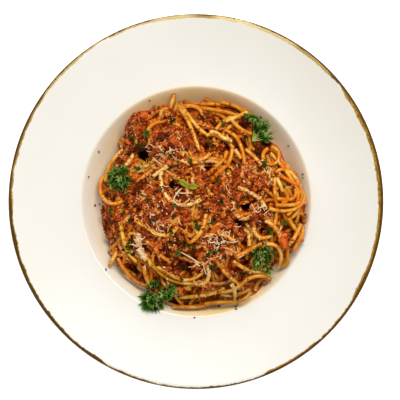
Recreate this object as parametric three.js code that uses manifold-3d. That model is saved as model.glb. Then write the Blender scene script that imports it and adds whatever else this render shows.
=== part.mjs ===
// Spaghetti bolognese in its wide-rim pasta plate. Millimetres, +Z up, origin at the centre of the foot ring.
//
// plate            one turned shell: foot ring, deep well, wide rim that climbs gently to a rounded lip
// spaghetti        the heap out to its uneven outline: a domed core with the noodles that show fused on
// meat_sauce       the mince sauce ladled over the heap, with mince lumps, cheese shreds and herb flakes
// parsley_sprig_*  four curly parsley sprigs, thin ruffled leaves
// small_leaf       one pale two-lobed leaf on the sauce

import * as THREE from "three";
import { mergeVertices } from "three/addons/utils/BufferGeometryUtils.js";
import Module from "manifold-3d";

const wasm = await Module();
wasm.setup();

const TURN = 2 * Math.PI;
const DEGREE = Math.PI / 180;

// ---------------------------------------------------------------- driving dimensions

const plate = {
  rimRadius: 135,
  rimHeight: 44,
  wellRadius: 84.8, // where the rim breaks into the well
  wellHeight: 30.7,
  floorRadius: 54,
  floorHeight: 8,
  wallSweep: 2, // exponent: how slowly the wall rises out of the floor
  shoulder: 22, // exponent: larger is a tighter bend from the wall to the rim
  rimCurve: 1.25, // above 1 the rim leaves the well level and steepens outwards
  thickness: 4.4,
  footInner: 47,
  footOuter: 52,
  footDraft: 1, // each side of the foot ring leans in by this much
  lipFlat: 0.5, // share of the thickness that the lip's upright edge takes up
  wallSteps: 5,
  wallCrowding: 1.6, // above 1 the steps are shorter near the shoulder
  rimSteps: 3,
  segments: 48,
};

const fitGap = 0.4; // clear space between neighbouring solids
const ringCrowding = 0.85; // below 1 the rings of a sheet lie closer together near its edge
const weldDistance = 1e-4;

const heap = {
  peak: 45.5,
  fall: 2.5, // exponent of the dome: larger is flatter on top
  edgeThickness: 5,
  edgeRadius: 75.3,
  lean: 5, // the heap lies this much nearer the right-hand wall
  // outline lobes: direction in degrees, size in mm, half-width in degrees
  lobes: [
    [24, -6, 13],
    [44, -8, 8],
    [126, 8.5, 10],
    [109, 3, 5],
    [152, -2.5, 8],
    [195, 2.5, 13],
    [218, 4, 8],
    [258, 5.5, 16],
    [302, 4, 9],
    [320, -3.5, 9],
    [335, 1.5, 10],
    [357, 1.5, 9],
  ],
  // mounds and hollows: centre x, centre y, height, radius
  mounds: [
    [-22, 46, 4.5, 17],
    [-40, 34, -4, 7],
    [48, 37, -4.5, 8],
    [37, -4, -2.5, 6],
    [-9, -48, -3.5, 11],
    [31, -50, -3.5, 9],
    [66, 1, -1.5, 6],
    [-26, -8, 1.5, 16],
    [49, -20, -2, 7],
  ],
  moundsEnd: 1.05, // share of the way out where the mounds have faded to nothing
  moundsFade: 0.25,
  spokes: plate.segments,
  rings: 8,
};

const noodle = {
  radius: 1.45,
  sink: 0.85, // how deep one is pressed into what it lies on
  stiffness: 0.02, // curvature limit over a hump, per mm
  sides: 5,
  step: 4,
  pointStep: 3, // every third point of a course shapes the tube
  shortest: 9,
  clearance: 1, // to the sauce and the sprigs
};

const sauce = {
  x: -6,
  y: 4,
  edgeRadius: 46,
  thickness: 2.8,
  edgeRoundness: 5, // larger is thinner only near the edge
  buried: 1.5, // the blanket starts this far inside the heap, and the heap is cut out of it
  lobes: [
    [122, 21, 22],
    [70, -17, 24],
    [196, 15, 14],
    [163, -7, 8],
    [355, 5, 20],
    [238, -4, 12],
  ],
  // waves of the outline: how many, size, shift in degrees
  ripples: [[7, 1.6, 20], [12, 1.1, 75]],
  spokes: 40,
  rings: 5,
};

// lumps of mince: each is an icosahedron, squashed, turned, tilted and sunk by a share of its radius
const lump = { count: 30, spread: 0.9, radius: [2.6, 4.2], shape: [1.15, 0.9, 0.75], tilt: 0.4, sink: 0.25 };

const curly = {
  thickness: 0.7,
  stand: 0.9, // clear of what the sprig lies on
  crown: 3.2, // the middle stands this much higher than the edge
  ruffle: 2.2,
  ruffleGrowth: 1.5, // exponent: ruffles deepen towards the edge
  ruffleTwist: 6, // radians that a ruffle turns from the middle to the edge
  edgeWave: 0.1,
  rings: 3,
};

// curly parsley: centre, mean radius, stretch along a direction in degrees, number of ruffles
const sprigs = {
  left: { x: -57, y: 17, radius: 9.2, stretch: 0.16, along: 100, ruffles: 9 },
  upper_right: { x: 47, y: 53, radius: 8.6, stretch: 0.42, along: -48, ruffles: 9 },
  lower_left: { x: -30, y: -69, radius: 10.2, stretch: 0.34, along: 35, ruffles: 10 },
  lower_right: { x: 48, y: -42, radius: 8.4, stretch: 0.2, along: 105, ruffles: 8 },
};

const leaf = {
  x: -5.5,
  y: 12,
  radius: 5.2,
  stretch: 0.42,
  along: -8,
  thickness: 0.6,
  stand: 0.7,
  cup: 0.8,
  cupWaves: 3,
  edgeWave: 0.12,
  edgeWaves: 5,
  spokes: 18,
  rings: 2,
};

// Noodles that lie on top: start x, start y, heading in degrees, length, then the turn made
// by the first and by the second half. Later ones lie over earlier ones.
const noodles = {
  // the band along the upper edge, and the pair that runs down from it
  topBandOuter: [3, 71.2, 6, 39, -12, -30],
  topBandInner: [3, 68, -4, 30, -4, -26],
  topLoop: [-11, 67.5, 32, 19, -40, -60],
  topStub: [-19, 68, 72, 11, 0, 0],
  longDiagonal: [-15, 68, -60, 35, -2, -1],
  topCross: [37, 65, -152, 17, -7, -3],
  topShort: [26, 60, -63, 18, 34, 13],
  rightSweep: [21.6, 51.8, -38, 31, -18, -34],
  orangeSweep: [26, 39, -91, 20, -30, 0],
  yellowWave: [-12.5, 68.5, -58, 30, 8, 12],
  yellowWaveEnd: [4.5, 47.5, 35, 24, -45, -25],
  // the right-hand wall: two long runs, a ring and a small coiled nest
  rimRunOuter: [54.5, 35.6, -43, 46, -8, -24],
  rimRunInner: [60, 29, -43, 46, -24, -79],
  ring: [55, 40, 0, 36, -165, -165],
  rightDiagonal: [36, 38, -35, 31, -16, -10],
  nestLeft: [57, 17, -101, 34, 26, -43],
  nestBack: [60, 19, -22, 17, -4, -2],
  nestOuter: [78.4, 5.5, -80, 33, -88, -32],
  nestInner: [58, 2.3, -18, 20, 20, 120],
  nestCore: [63, 9, -30, 14, -60, -90],
  smallArc: [58, 21, 52, 13, -58, -28],
  // lower right
  lowRun: [67, -12, -60, 20, 10, -20],
  lowBend: [50, -14, -20, 18, -30, -30],
  curl: [51, -30.8, 10, 25, -75, -50],
  curlOuter: [67, -33, -92, 17, 10, -100],
  hook: [42, -18, -103, 21, 80, 88],
  endPairLong: [76, -16, -112, 18, -9, -3],
  endPairShort: [78, -18, -95, 19, -17, -6],
  finger: [27, -42, 34, 14, -4, -3],
  yellowRim: [27, -43, -47, 29, 35, -13],
  goldCross: [19, -49, -53, 22, 10, 7],
  lowerLoop: [52, -55, -203, 37, 67, -48],
  shortDrop: [26, -59, -72, 16, -10, -5],
  // the lower edge, and the long double curve above it
  edgeRunLeft: [-17, -77.4, -5, 36, 12, 8],
  edgeRunRight: [6, -75, 7, 36, -8, 50],
  bottomInner: [-12, -70, -4, 34, 14, 16],
  longCurve: [-37, -39, -65, 52, 40, 38],
  longCurveInner: [-29, -47, -34, 39, 13, 73],
  shortHook: [-1, -59, -36, 23, 95, 71],
  // the left side
  leftLoop: [-68.2, 19, -133, 34, 78, 85],
  leftEdge: [-53, 39, -134, 29, 7, 34],
  leftLong: [-55.2, -15, -86, 32, 14, 26],
  lowerLeftRun: [-57.5, -41.5, -63, 31, 8, 55],
  lowerLeftStub: [-57.6, -36.5, -122, 12, 5, 0],
  shortUpright: [-38, -47, -88, 16, 11, 7],
};

// Shreds of grated cheese on the sauce: x, y, heading, length, turn
const shreds = [
  [-14, 8, 150, 15, 200],
  [-12, 4, 20, 9, 10],
  [-4, 3, -100, 11, -60],
  [-22, 36, 30, 10, 60],
  [-32, 38, -40, 9, 20],
  [8, -24, 70, 10, 60],
  [12, -34, 20, 11, 40],
  [3, -30, -20, 9, -50],
  [30, -12, 5, 11, -60],
  [38, 8, 60, 9, 30],
  [-28, -12, -80, 10, 40],
  [-44, -8, 15, 9, -40],
];
const shred = { width: 1.1, thickness: 0.9, step: 3, sink: 0.35 };

// Herb flakes on the sauce: x, y, turn
const flakes = [
  [-46, 54, 10], [-38, 48, 60], [-36, 40, 100], [-18, 53, 30], [-19, 28, 80], [-40, 24, 140],
  [20, 0, 15], [15, -15, 50], [0, -18, 95], [-54, -6, 20], [-12, -34, 70], [24, 20, 35],
  [36, -16, 120], [8, 14, 5],
];
const flake = { radius: 1.9, waist: 0.5, points: 3, thickness: 0.8, sink: 0.4 };

// ---------------------------------------------------------------- forms shared by the solids

const clamp = (t) => Math.min(1, Math.max(0, t));

// Height of the plate's upper face: level floor, a wall that steepens up to its shoulder, and a
// rim that climbs as a power curve.
function plateTop(r) {
  if (r < plate.wellRadius) {
    const t = clamp((r - plate.floorRadius) / (plate.wellRadius - plate.floorRadius));
    const [p, q] = [plate.wallSweep, plate.shoulder];
    return plate.floorHeight + ((plate.wellHeight - plate.floorHeight) * (q * t ** p - p * t ** q)) / (q - p);
  }
  const u = (r - plate.wellRadius) / (plate.rimRadius - plate.wellRadius);
  return plate.wellHeight + (plate.rimHeight - plate.wellHeight) * u ** plate.rimCurve;
}

const plateSlope = (r) => (plateTop(r + 0.1) - plateTop(r - 0.1)) / 0.2;

// A bell-shaped lobe for every [direction, size, half-width], all in degrees but the size.
function lobeSum(lobes, angle) {
  let sum = 0;
  for (const [direction, size, width] of lobes) {
    const off = ((angle / DEGREE - direction + 540) % 360) - 180;
    sum += size * Math.exp(-((off / width) ** 2));
  }
  return sum;
}

const heapEdge = (angle) => heap.edgeRadius + heap.lean * Math.cos(angle) + lobeSum(heap.lobes, angle);

// The heap's dome falls from its peak to a thick edge on the plate, with mounds and hollows added.
function heapTop(x, y) {
  const angle = Math.atan2(y, x);
  const edge = heapEdge(angle);
  const edgeHeight = plateTop(edge) + heap.edgeThickness;
  const out = Math.hypot(x, y) / edge;
  let z = heap.peak + (edgeHeight - heap.peak) * out ** heap.fall;
  const fade = clamp((heap.moundsEnd - out) / heap.moundsFade);
  for (const [mx, my, height, radius] of heap.mounds) {
    z += fade * height * Math.exp(-((x - mx) ** 2 + (y - my) ** 2) / radius ** 2);
  }
  return z;
}

// What a topping stands on: the heap, or past its outline the plate.
const groundAt = (x, y) => Math.max(heapTop(x, y), plateTop(Math.hypot(x, y)));

function sauceEdge(angle) {
  let edge = sauce.edgeRadius + lobeSum(sauce.lobes, angle);
  for (const [waves, size, shift] of sauce.ripples) edge += size * Math.sin(waves * angle + shift * DEGREE);
  return edge;
}

// How far a point lies inside the sauce's outline, from 0 at its edge to 1 at its middle.
function sauceDepth(x, y) {
  const [dx, dy] = [x - sauce.x, y - sauce.y];
  return 1 - Math.hypot(dx, dy) / sauceEdge(Math.atan2(dy, dx));
}

const sauceTop = (x, y) =>
  heapTop(x, y) + fitGap + sauce.thickness * (1 - (1 - clamp(sauceDepth(x, y))) ** sauce.edgeRoundness);

// An oval round its own centre, drawn out along one direction.
const ovalEdge = ({ radius, stretch, along }, angle) =>
  radius * (1 + stretch * Math.cos(2 * (angle - along * DEGREE)));

// Seeded random numbers from 0 to 1 (mulberry32).
function seeded(seed) {
  let state = seed;
  return () => {
    state = (state + 0x6d2b79f5) | 0;
    let t = Math.imul(state ^ (state >>> 15), 1 | state);
    t = (t + Math.imul(t ^ (t >>> 7), 61 | t)) ^ t;
    return ((t ^ (t >>> 14)) >>> 0) / 4294967296;
  };
}

// ---------------------------------------------------------------- solids

function toSolid(geometry) {
  for (const name of ["normal", "uv"]) geometry.deleteAttribute(name);
  const merged = mergeVertices(geometry, weldDistance);
  return new wasm.Manifold(new wasm.Mesh({
    numProp: 3,
    vertProperties: Float32Array.from(merged.attributes.position.array),
    triVerts: Uint32Array.from(merged.index.array),
  }));
}

// The largest body of a solid, without loose scraps.
function mainBody(solid) {
  return solid.decompose().reduce((best, body) => (body.volume() > best.volume() ? body : best));
}

function toGeometry(solid) {
  const { vertProperties, triVerts } = solid.getMesh();
  const geometry = new THREE.BufferGeometry();
  geometry.setAttribute("position", new THREE.BufferAttribute(vertProperties, 3));
  geometry.setIndex(new THREE.BufferAttribute(triVerts, 1));
  return geometry;
}

// A closed solid between two sheets on one polar grid, so that both faces have the same triangles.
// edge(angle) is its outline round (x, y), and each sheet gives z from the point, its
// share of the way out and its angle.
function twoSheets({ x: cx, y: cy, spokes, rings, edge, upper, lower }) {
  const vertices = [];
  for (const sheet of [upper, lower]) {
    vertices.push(cx, cy, sheet(cx, cy, 0, 0));
    for (let ring = 1; ring <= rings; ring++) {
      for (let spoke = 0; spoke < spokes; spoke++) {
        const angle = (TURN * spoke) / spokes;
        const out = (ring / rings) ** ringCrowding;
        const px = cx + out * edge(angle) * Math.cos(angle);
        const py = cy + out * edge(angle) * Math.sin(angle);
        vertices.push(px, py, sheet(px, py, out, angle));
      }
    }
  }
  const half = vertices.length / 6;
  const at = (sheet, ring, spoke) => sheet * half + (ring === 0 ? 0 : 1 + (ring - 1) * spokes + (spoke % spokes));
  const triangles = [];
  for (let spoke = 0; spoke < spokes; spoke++) {
    for (let ring = 0; ring < rings; ring++) {
      for (const sheet of [0, 1]) {
        const [a, b] = [at(sheet, ring, spoke), at(sheet, ring + 1, spoke)];
        const [c, d] = [at(sheet, ring + 1, spoke + 1), at(sheet, ring, spoke + 1)];
        const faces = ring === 0 ? [[a, b, c]] : [[a, b, c], [a, c, d]];
        for (const [p, q, r] of faces) triangles.push(p, ...(sheet === 0 ? [q, r] : [r, q]));
      }
    }
    const [a, b] = [at(0, rings, spoke), at(0, rings, spoke + 1)];
    const [c, d] = [at(1, rings, spoke + 1), at(1, rings, spoke)];
    triangles.push(a, d, c, a, c, b);
  }
  const geometry = new THREE.BufferGeometry();
  geometry.setAttribute("position", new THREE.BufferAttribute(Float32Array.from(vertices), 3));
  geometry.setIndex(triangles);
  return geometry;
}

// Points 1 mm apart along two arcs that follow each other.
function course([x, y, heading, length, firstTurn, secondTurn]) {
  const points = [[x, y]];
  let direction = heading * DEGREE;
  for (let i = 0; i < length; i++) {
    const turn = (i < length / 2 ? firstTurn : secondTurn) / (length / 2);
    direction += turn * DEGREE;
    x += Math.cos(direction);
    y += Math.sin(direction);
    points.push([x, y]);
  }
  return points;
}

// The longest stretch of a course that stays clear of the sauce and the sprigs.
function clearStretch(points) {
  const isClear = ([x, y]) => {
    const room = noodle.radius + noodle.clearance;
    const [dx, dy] = [x - sauce.x, y - sauce.y];
    if (Math.hypot(dx, dy) < sauceEdge(Math.atan2(dy, dx)) + room) return false;
    return Object.values(sprigs).every((sprig) => {
      const [sx, sy] = [x - sprig.x, y - sprig.y];
      return Math.hypot(sx, sy) > ovalEdge(sprig, Math.atan2(sy, sx)) + room;
    });
  };
  let [best, run] = [[], []];
  for (const point of points) {
    run = isClear(point) ? [...run, point] : [];
    if (run.length > best.length) best = run;
  }
  return best;
}

// Heights of a noodle laid over the heap and over the noodles before it: each point rests on
// what is under it, and the noodle bends no more than a parabola over a hump.
function drape(points, laid) {
  const across = 2 * noodle.radius;
  const rest = points.map(([x, y]) => {
    const r = Math.hypot(x, y);
    const offWall = (noodle.radius + fitGap) * Math.hypot(1, plateSlope(r));
    let z = Math.max(heapTop(x, y) + noodle.radius - noodle.sink, plateTop(r) + offWall);
    for (const [ox, oy, oz] of laid) {
      const apart = Math.hypot(x - ox, y - oy);
      if (apart < across) z = Math.max(z, oz + Math.sqrt(across ** 2 - apart ** 2) - noodle.sink);
    }
    return z;
  });
  return points.map(([x, y], i) => {
    const z = Math.max(...rest.map((height, j) => height - noodle.stiffness * (i - j) ** 2));
    return [x, y, z];
  });
}

function tubeSolid(points, radius) {
  const curve = new THREE.CatmullRomCurve3(points.map(([x, y, z]) => new THREE.Vector3(x, y, z)));
  const section = new THREE.Shape();
  for (let side = 0; side < noodle.sides; side++) {
    const angle = (TURN * side) / noodle.sides;
    section[side ? "lineTo" : "moveTo"](radius * Math.cos(angle), radius * Math.sin(angle));
  }
  const steps = Math.round(curve.getLength() / noodle.step);
  return toSolid(new THREE.ExtrudeGeometry(section, { steps, extrudePath: curve, bevelEnabled: false }));
}

// The upper face of the plate's shell, from the axis to where the lip starts.
function plateFace() {
  const face = [[0, plateTop(0)]];
  for (let i = 0; i <= plate.wallSteps; i++) {
    const t = 1 - (1 - i / plate.wallSteps) ** plate.wallCrowding;
    const r = plate.floorRadius + (plate.wellRadius - plate.floorRadius) * t;
    face.push([r, plateTop(r)]);
  }
  for (let i = 1; i <= plate.rimSteps; i++) {
    const end = plate.rimRadius - plate.thickness / 2;
    const r = plate.wellRadius + ((end - plate.wellRadius) * i) / plate.rimSteps;
    face.push([r, plateTop(r)]);
  }
  return face;
}

// LatheGeometry turns a profile round Y, so the result is laid over to stand on +Z. The profile
// runs anticlockwise, from the lower pole to the upper one.
function turned(profile) {
  const geometry = new THREE.LatheGeometry(profile.map(([r, z]) => new THREE.Vector2(r, z)), plate.segments);
  geometry.rotateX(Math.PI / 2);
  return geometry;
}

function plateGeometry() {
  const face = plateFace();
  // the lower face lies one thickness below, square to the upper, with half as many points
  const below = face.filter((_, i) => i % 2 === 1).map(([r, z]) => {
    const length = Math.hypot(1, plateSlope(r));
    return [r + (plate.thickness * plateSlope(r)) / length, z - plate.thickness / length];
  });
  const lip = [1 + plate.lipFlat, 1 - plate.lipFlat].map((share) => [
    plate.rimRadius,
    plateTop(plate.rimRadius) - (share * plate.thickness) / 2,
  ]);
  const underside = plate.floorHeight - plate.thickness;
  const foot = [
    [0, underside],
    [plate.footInner, underside],
    [plate.footInner + plate.footDraft, 0],
    [plate.footOuter - plate.footDraft, 0],
  ];
  return turned([...foot, ...below, ...lip, ...face.reverse()]);
}

// The space above the plate that the food may fill.
function roomAbovePlate() {
  const ceiling = 2 * heap.peak;
  const lower = plateFace().map(([r, z]) => [r, z + fitGap]);
  return toSolid(turned([...lower, [plate.rimRadius, ceiling], [0, ceiling]]));
}

function heapCore() {
  return toSolid(twoSheets({
    x: 0,
    y: 0,
    spokes: heap.spokes,
    rings: heap.rings,
    edge: heapEdge,
    upper: heapTop,
    lower: () => 0,
  })).intersect(roomAbovePlate());
}

function spaghettiSolid(core) {
  const laid = [];
  const tubes = [];
  for (const spec of Object.values(noodles)) {
    const points = clearStretch(course(spec));
    if (points.length < noodle.shortest) continue;
    const draped = drape(points, laid);
    laid.push(...draped);
    tubes.push(tubeSolid(draped.filter((_, i) => i % noodle.pointStep === 0 || i === draped.length - 1), noodle.radius));
  }
  const whole = tubes.reduce((sum, tube) => sum.add(tube), core);
  return mainBody(whole.intersect(roomAbovePlate()));
}

// Mince lumps, spread over the sauce by the golden angle, clear of the pale leaf.
function minceLumps() {
  const random = seeded(7);
  const lumps = [];
  const goldenAngle = Math.PI * (3 - Math.sqrt(5));
  const [low, high] = lump.radius;
  for (let i = 0; i < lump.count; i++) {
    const angle = i * goldenAngle;
    const out = Math.sqrt((i + 0.5) / lump.count) * lump.spread;
    const radius = low + (high - low) * random();
    const reach = sauceEdge(angle) - radius;
    const [x, y] = [sauce.x + out * reach * Math.cos(angle), sauce.y + out * reach * Math.sin(angle)];
    const turn = random() * TURN;
    const nearLeaf = Math.hypot(x - leaf.x, y - leaf.y) < radius + leaf.radius * (1 + leaf.stretch);
    if (nearLeaf) continue;
    const ball = new THREE.IcosahedronGeometry(radius, 0);
    ball.scale(...lump.shape);
    ball.rotateZ(turn);
    ball.rotateX(lump.tilt * (random() - 0.5));
    ball.translate(x, y, sauceTop(x, y) - lump.sink * radius);
    lumps.push(toSolid(ball));
  }
  return lumps;
}

// A shred is a strip of square section along an arc on the sauce.
function shredSolid([x, y, heading, length, turn]) {
  const points = course([x, y, heading, length, turn / 2, turn / 2])
    .filter((_, i) => i % shred.step === 0)
    .map(([px, py]) => new THREE.Vector3(px, py, sauceTop(px, py) + shred.thickness / 2 - shred.sink));
  const [w, t] = [shred.width / 2, shred.thickness / 2];
  const section = new THREE.Shape([[-t, -w], [t, -w], [t, w], [-t, w]].map(([a, b]) => new THREE.Vector2(a, b)));
  const path = new THREE.CatmullRomCurve3(points);
  return toSolid(new THREE.ExtrudeGeometry(section, { steps: points.length - 1, extrudePath: path, bevelEnabled: false }));
}

// A flake is a small star-shaped plate.
function flakeSolid([x, y, turn]) {
  const section = new THREE.Shape();
  const corners = 2 * flake.points;
  for (let i = 0; i < corners; i++) {
    const angle = turn * DEGREE + (TURN * i) / corners;
    const reach = flake.radius * (i % 2 ? flake.waist : 1);
    section[i ? "lineTo" : "moveTo"](reach * Math.cos(angle), reach * Math.sin(angle));
  }
  const body = new THREE.ExtrudeGeometry(section, { depth: flake.thickness, bevelEnabled: false });
  body.translate(x, y, sauceTop(x, y) - flake.sink);
  return toSolid(body);
}

function sauceSolid(core) {
  const blanket = toSolid(twoSheets({
    x: sauce.x,
    y: sauce.y,
    spokes: sauce.spokes,
    rings: sauce.rings,
    edge: sauceEdge,
    upper: sauceTop,
    lower: (x, y) => heapTop(x, y) - sauce.buried,
  }));
  const toppings = [...minceLumps(), ...shreds.map(shredSolid), ...flakes.map(flakeSolid)];
  const whole = toppings.reduce((sum, topping) => sum.add(topping), blanket);
  return mainBody(whole.subtract(core.translate([0, 0, fitGap])));
}

// A curly sprig: an oval leaf that crowns in the middle and ruffles ever more towards its edge.
function sprigGeometry(sprig) {
  const { x, y, ruffles } = sprig;
  const sheet = (lift) => (px, py, out, angle) => {
    const wave = Math.sin(ruffles * angle + curly.ruffleTwist * out);
    const ruffle = curly.ruffle * out ** curly.ruffleGrowth * (1 + wave);
    return groundAt(px, py) + curly.stand + curly.crown * (1 - out * out) + ruffle + lift;
  };
  return twoSheets({
    x,
    y,
    spokes: 3 * ruffles,
    rings: curly.rings,
    edge: (angle) => ovalEdge(sprig, angle) * (1 + curly.edgeWave * Math.sin(ruffles * angle)),
    upper: sheet(curly.thickness),
    lower: sheet(0),
  });
}

// The pale leaf: two rounded lobes either side of a waist, slightly cupped.
function leafGeometry() {
  const sheet = (lift) => (px, py, out, angle) =>
    sauceTop(px, py) + leaf.stand + leaf.cup * out * out * (1 + Math.sin(leaf.cupWaves * angle)) + lift;
  return twoSheets({
    ...leaf,
    edge: (angle) => ovalEdge(leaf, angle) * (1 + leaf.edgeWave * Math.sin(leaf.edgeWaves * angle)),
    upper: sheet(leaf.thickness),
    lower: sheet(0),
  });
}

// ---------------------------------------------------------------- the dish

const finishes = {
  glazedStoneware: { color: "#f6f0e6", roughness: 0.3, metalness: 0 },
  boiledPasta: { color: "#d98f35", roughness: 0.45, metalness: 0 },
  minceSauce: { color: "#9c4420", roughness: 0.5, metalness: 0 },
  curlyParsley: { color: "#2f6b28", roughness: 0.6, metalness: 0 },
  paleLeaf: { color: "#8ba32c", roughness: 0.55, metalness: 0 },
};

const dish = new THREE.Group();

function place(name, geometry, finish) {
  const mesh = new THREE.Mesh(geometry, new THREE.MeshStandardMaterial(finishes[finish]));
  mesh.name = name;
  dish.add(mesh);
}

const core = heapCore();
place("plate", plateGeometry(), "glazedStoneware");
place("spaghetti", toGeometry(spaghettiSolid(core)), "boiledPasta");
place("meat_sauce", toGeometry(sauceSolid(core)), "minceSauce");
for (const [side, sprig] of Object.entries(sprigs)) {
  place(`parsley_sprig_${side}`, sprigGeometry(sprig), "curlyParsley");
}
place("small_leaf", leafGeometry(), "paleLeaf");

export default dish;
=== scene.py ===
import math

import bmesh
import bpy
import numpy as np
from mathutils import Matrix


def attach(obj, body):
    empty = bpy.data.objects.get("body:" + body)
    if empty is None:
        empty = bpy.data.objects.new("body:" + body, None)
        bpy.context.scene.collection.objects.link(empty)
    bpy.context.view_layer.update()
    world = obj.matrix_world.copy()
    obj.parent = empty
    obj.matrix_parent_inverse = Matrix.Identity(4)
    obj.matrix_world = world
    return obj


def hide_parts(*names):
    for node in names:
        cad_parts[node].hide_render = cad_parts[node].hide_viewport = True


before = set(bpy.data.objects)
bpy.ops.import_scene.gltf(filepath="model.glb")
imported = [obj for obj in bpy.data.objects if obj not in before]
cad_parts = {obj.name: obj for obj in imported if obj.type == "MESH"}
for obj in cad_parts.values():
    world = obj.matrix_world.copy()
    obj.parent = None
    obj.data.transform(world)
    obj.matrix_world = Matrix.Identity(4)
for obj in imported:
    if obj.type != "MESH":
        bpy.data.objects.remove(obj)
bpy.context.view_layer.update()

mm = 0.001
turn = 2 * math.pi

# Spaghetti bolognese in a pasta plate with a brushed gold-brown edge. Shapes are worked out in
# millimetres as numpy arrays, and turned to metres where a mesh is made.


def toLinear(hexColour):
    # sRGB hex to linear: divide by 12.92 near black, a 2.4 power above
    values = [int(hexColour[i:i + 2], 16) / 255 for i in (1, 3, 5)]
    return [v / 12.92 if v <= 0.04045 else ((v + 0.055) / 1.055) ** 2.4 for v in values] + [1.0]


def fill(node, settings):
    # each setting is an attribute of the node, a value or a hex colour for an input socket, or
    # the output of another node to link to it
    for name, value in settings.items():
        if isinstance(value, bpy.types.NodeSocket):
            node.id_data.links.new(value, node.inputs[name])
        elif isinstance(name, str) and hasattr(node, name):
            setattr(node, name, value)
        else:
            node.inputs[name].default_value = toLinear(value) if isinstance(value, str) else value
    return node


def addNode(tree, kind, settings):
    # one shader node with its settings and links. Gives its output Fac, or else the first in use
    node = fill(tree.nodes.new("ShaderNode" + kind), settings)
    return node.outputs.get("Fac") or next(output for output in node.outputs if output.enabled)


def ramp(tree, source, stops):
    # a colour ramp from a list of (position, hex colour)
    output = addNode(tree, "ValToRGB", {"Fac": source})
    elements = output.node.color_ramp.elements
    while len(elements) < len(stops):
        elements.new(0.5)
    for element, (position, colour) in zip(elements, stops):
        element.position = position
        element.color = toLinear(colour)
    return output


def newMaterial(name, shader):
    material = bpy.data.materials.new(name)
    material.use_nodes = True
    tree = material.node_tree
    principled = fill(tree.nodes["Principled BSDF"], shader)
    place = addNode(tree, "TexCoord", {}).node.outputs["Object"]
    return material, tree, principled, place


def speckledMaterial(name, shader, noise, gain, stops, bump=None):
    # a colour ramp read at gain times a noise plus the tone that the piece carries
    material, tree, principled, place = newMaterial(name, shader)
    grain = addNode(tree, "TexNoise", {**noise, "Vector": place})
    tone = addNode(tree, "Attribute", {"attribute_name": "tone"})
    mixed = addNode(tree, "Math", {"operation": "MULTIPLY_ADD", 0: grain, 1: gain, 2: tone})
    fill(principled, {"Base Color": ramp(tree, mixed, stops)})
    if bump:
        fill(principled, {"Normal": addNode(tree, "Bump", {**bump, "Height": grain})})
    return material


def unit(vectors):
    return vectors / (np.linalg.norm(vectors, axis=-1)[..., None] + 1e-9)


def ripple(points, size, seed):
    # smooth noise: a sum of sine waves in random directions, wavelengths near size mm, spread 1
    waves = 28
    rng = np.random.default_rng(seed)
    direction = unit(rng.normal(size=(waves, 3)))
    k = turn / size * rng.uniform(0.6, 1.7, waves)
    phase = rng.uniform(0, turn, waves)
    total = sum(np.sin(k[i] * (points @ direction[i]) + phase[i]) for i in range(waves))
    return total / math.sqrt(waves / 2)


def mottle(x, y, waves):
    # a sum of ripples over the plate, each with its size in mm, its strength and its seed
    points = np.stack([x, y, 0 * x], -1)
    return sum(strength * ripple(points, size, seed) for size, strength, seed in waves)


def makePiece(name, vertices, faces, uv, material, slot, node=None, **attributes):
    # faces is a list of index arrays (n, 3) or (n, 4), uv a list of arrays of the same shape + 2
    # or None, node the solid's node that the piece replaces, attributes what its material reads
    mesh = bpy.data.meshes.new(name)
    corners = [face for block in faces for face in block.tolist()]
    mesh.from_pydata(vertices * mm, [], corners, shade_flat=False)
    if uv:
        flat = np.concatenate([u.reshape(-1, 2) for u in uv])
        mesh.uv_layers.new(name="OFBake").data.foreach_set("uv", flat.astype(np.float32).ravel())
    for label, values in attributes.items():
        mesh.attributes.new(label, "FLOAT", "POINT").data.foreach_set("value", values.astype(np.float32))
    mesh.materials.append(material)
    piece = bpy.data.objects.new(name, mesh)
    bpy.context.scene.collection.objects.link(piece)
    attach(piece, "root")
    if node:
        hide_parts(node)


# The forms that the plate and the heap are fitted to, as in the solids

plateForm = {
    "rimRadius": 135, "rimHeight": 44, "wellRadius": 84.8, "wellHeight": 30.7,
    "floorRadius": 54, "floorHeight": 8, "wallSweep": 2, "shoulder": 22, "rimCurve": 1.25,
    "thickness": 4.4, "footInner": 47, "footOuter": 52,
}
heapForm = {
    "peak": 45.5, "fall": 2.5, "edgeThickness": 5, "edgeRadius": 75.3, "lean": 5,
    # the core is given a dark tone, painted shade deep among the noodles
    "coreDrop": 9.0,    # the dark core lies so far under the heap's top, and noodles fill the rest
    # outline lobes: direction in degrees, size in mm, half-width in degrees
    "lobes": [
        (24, -6, 13), (44, -8, 8), (126, 8.5, 10), (109, 3, 5), (152, -2.5, 8), (195, 2.5, 13), (218, 4, 8),
        (258, 5.5, 16), (302, 4, 9), (320, -3.5, 9), (335, 1.5, 10), (357, 1.5, 9),
    ],
    # mounds and hollows: centre x, centre y, radius, height
    "mounds": [
        (-22, 46, 17, 4.5), (-40, 34, 7, -4), (48, 37, 8, -4.5), (37, -4, 6, -2.5), (-9, -48, 11, -3.5),
        (31, -50, 9, -3.5), (66, 1, 6, -1.5), (-26, -8, 16, 1.5), (49, -20, 7, -2),
    ],
    # gaps between the noodles, sunk in and painted darker as shade: centre x, centre y, radius, depth
    "gaps": [
        (-38, 34, 3.6, 5), (-17, 12, 2.6, 4), (47, 36, 4, 5), (35.5, 56, 3.6, 5), (31, 37.5, 2.4, 4),
        (36, -4, 2.6, 4), (30, -15, 2.6, 4), (36, -45, 2, 3.5), (50, -20, 3, 2.2), (-5, -48, 4, 2),
        (-12, -47, 4, 2), (32, -49, 3.6, 4), (8, 24, 2.2, 3.5), (-48, -12, 2.2, 3.5), (-22, -42, 2.2, 3.5),
        (52, 43, 3.5, 4),
    ],
}


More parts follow.
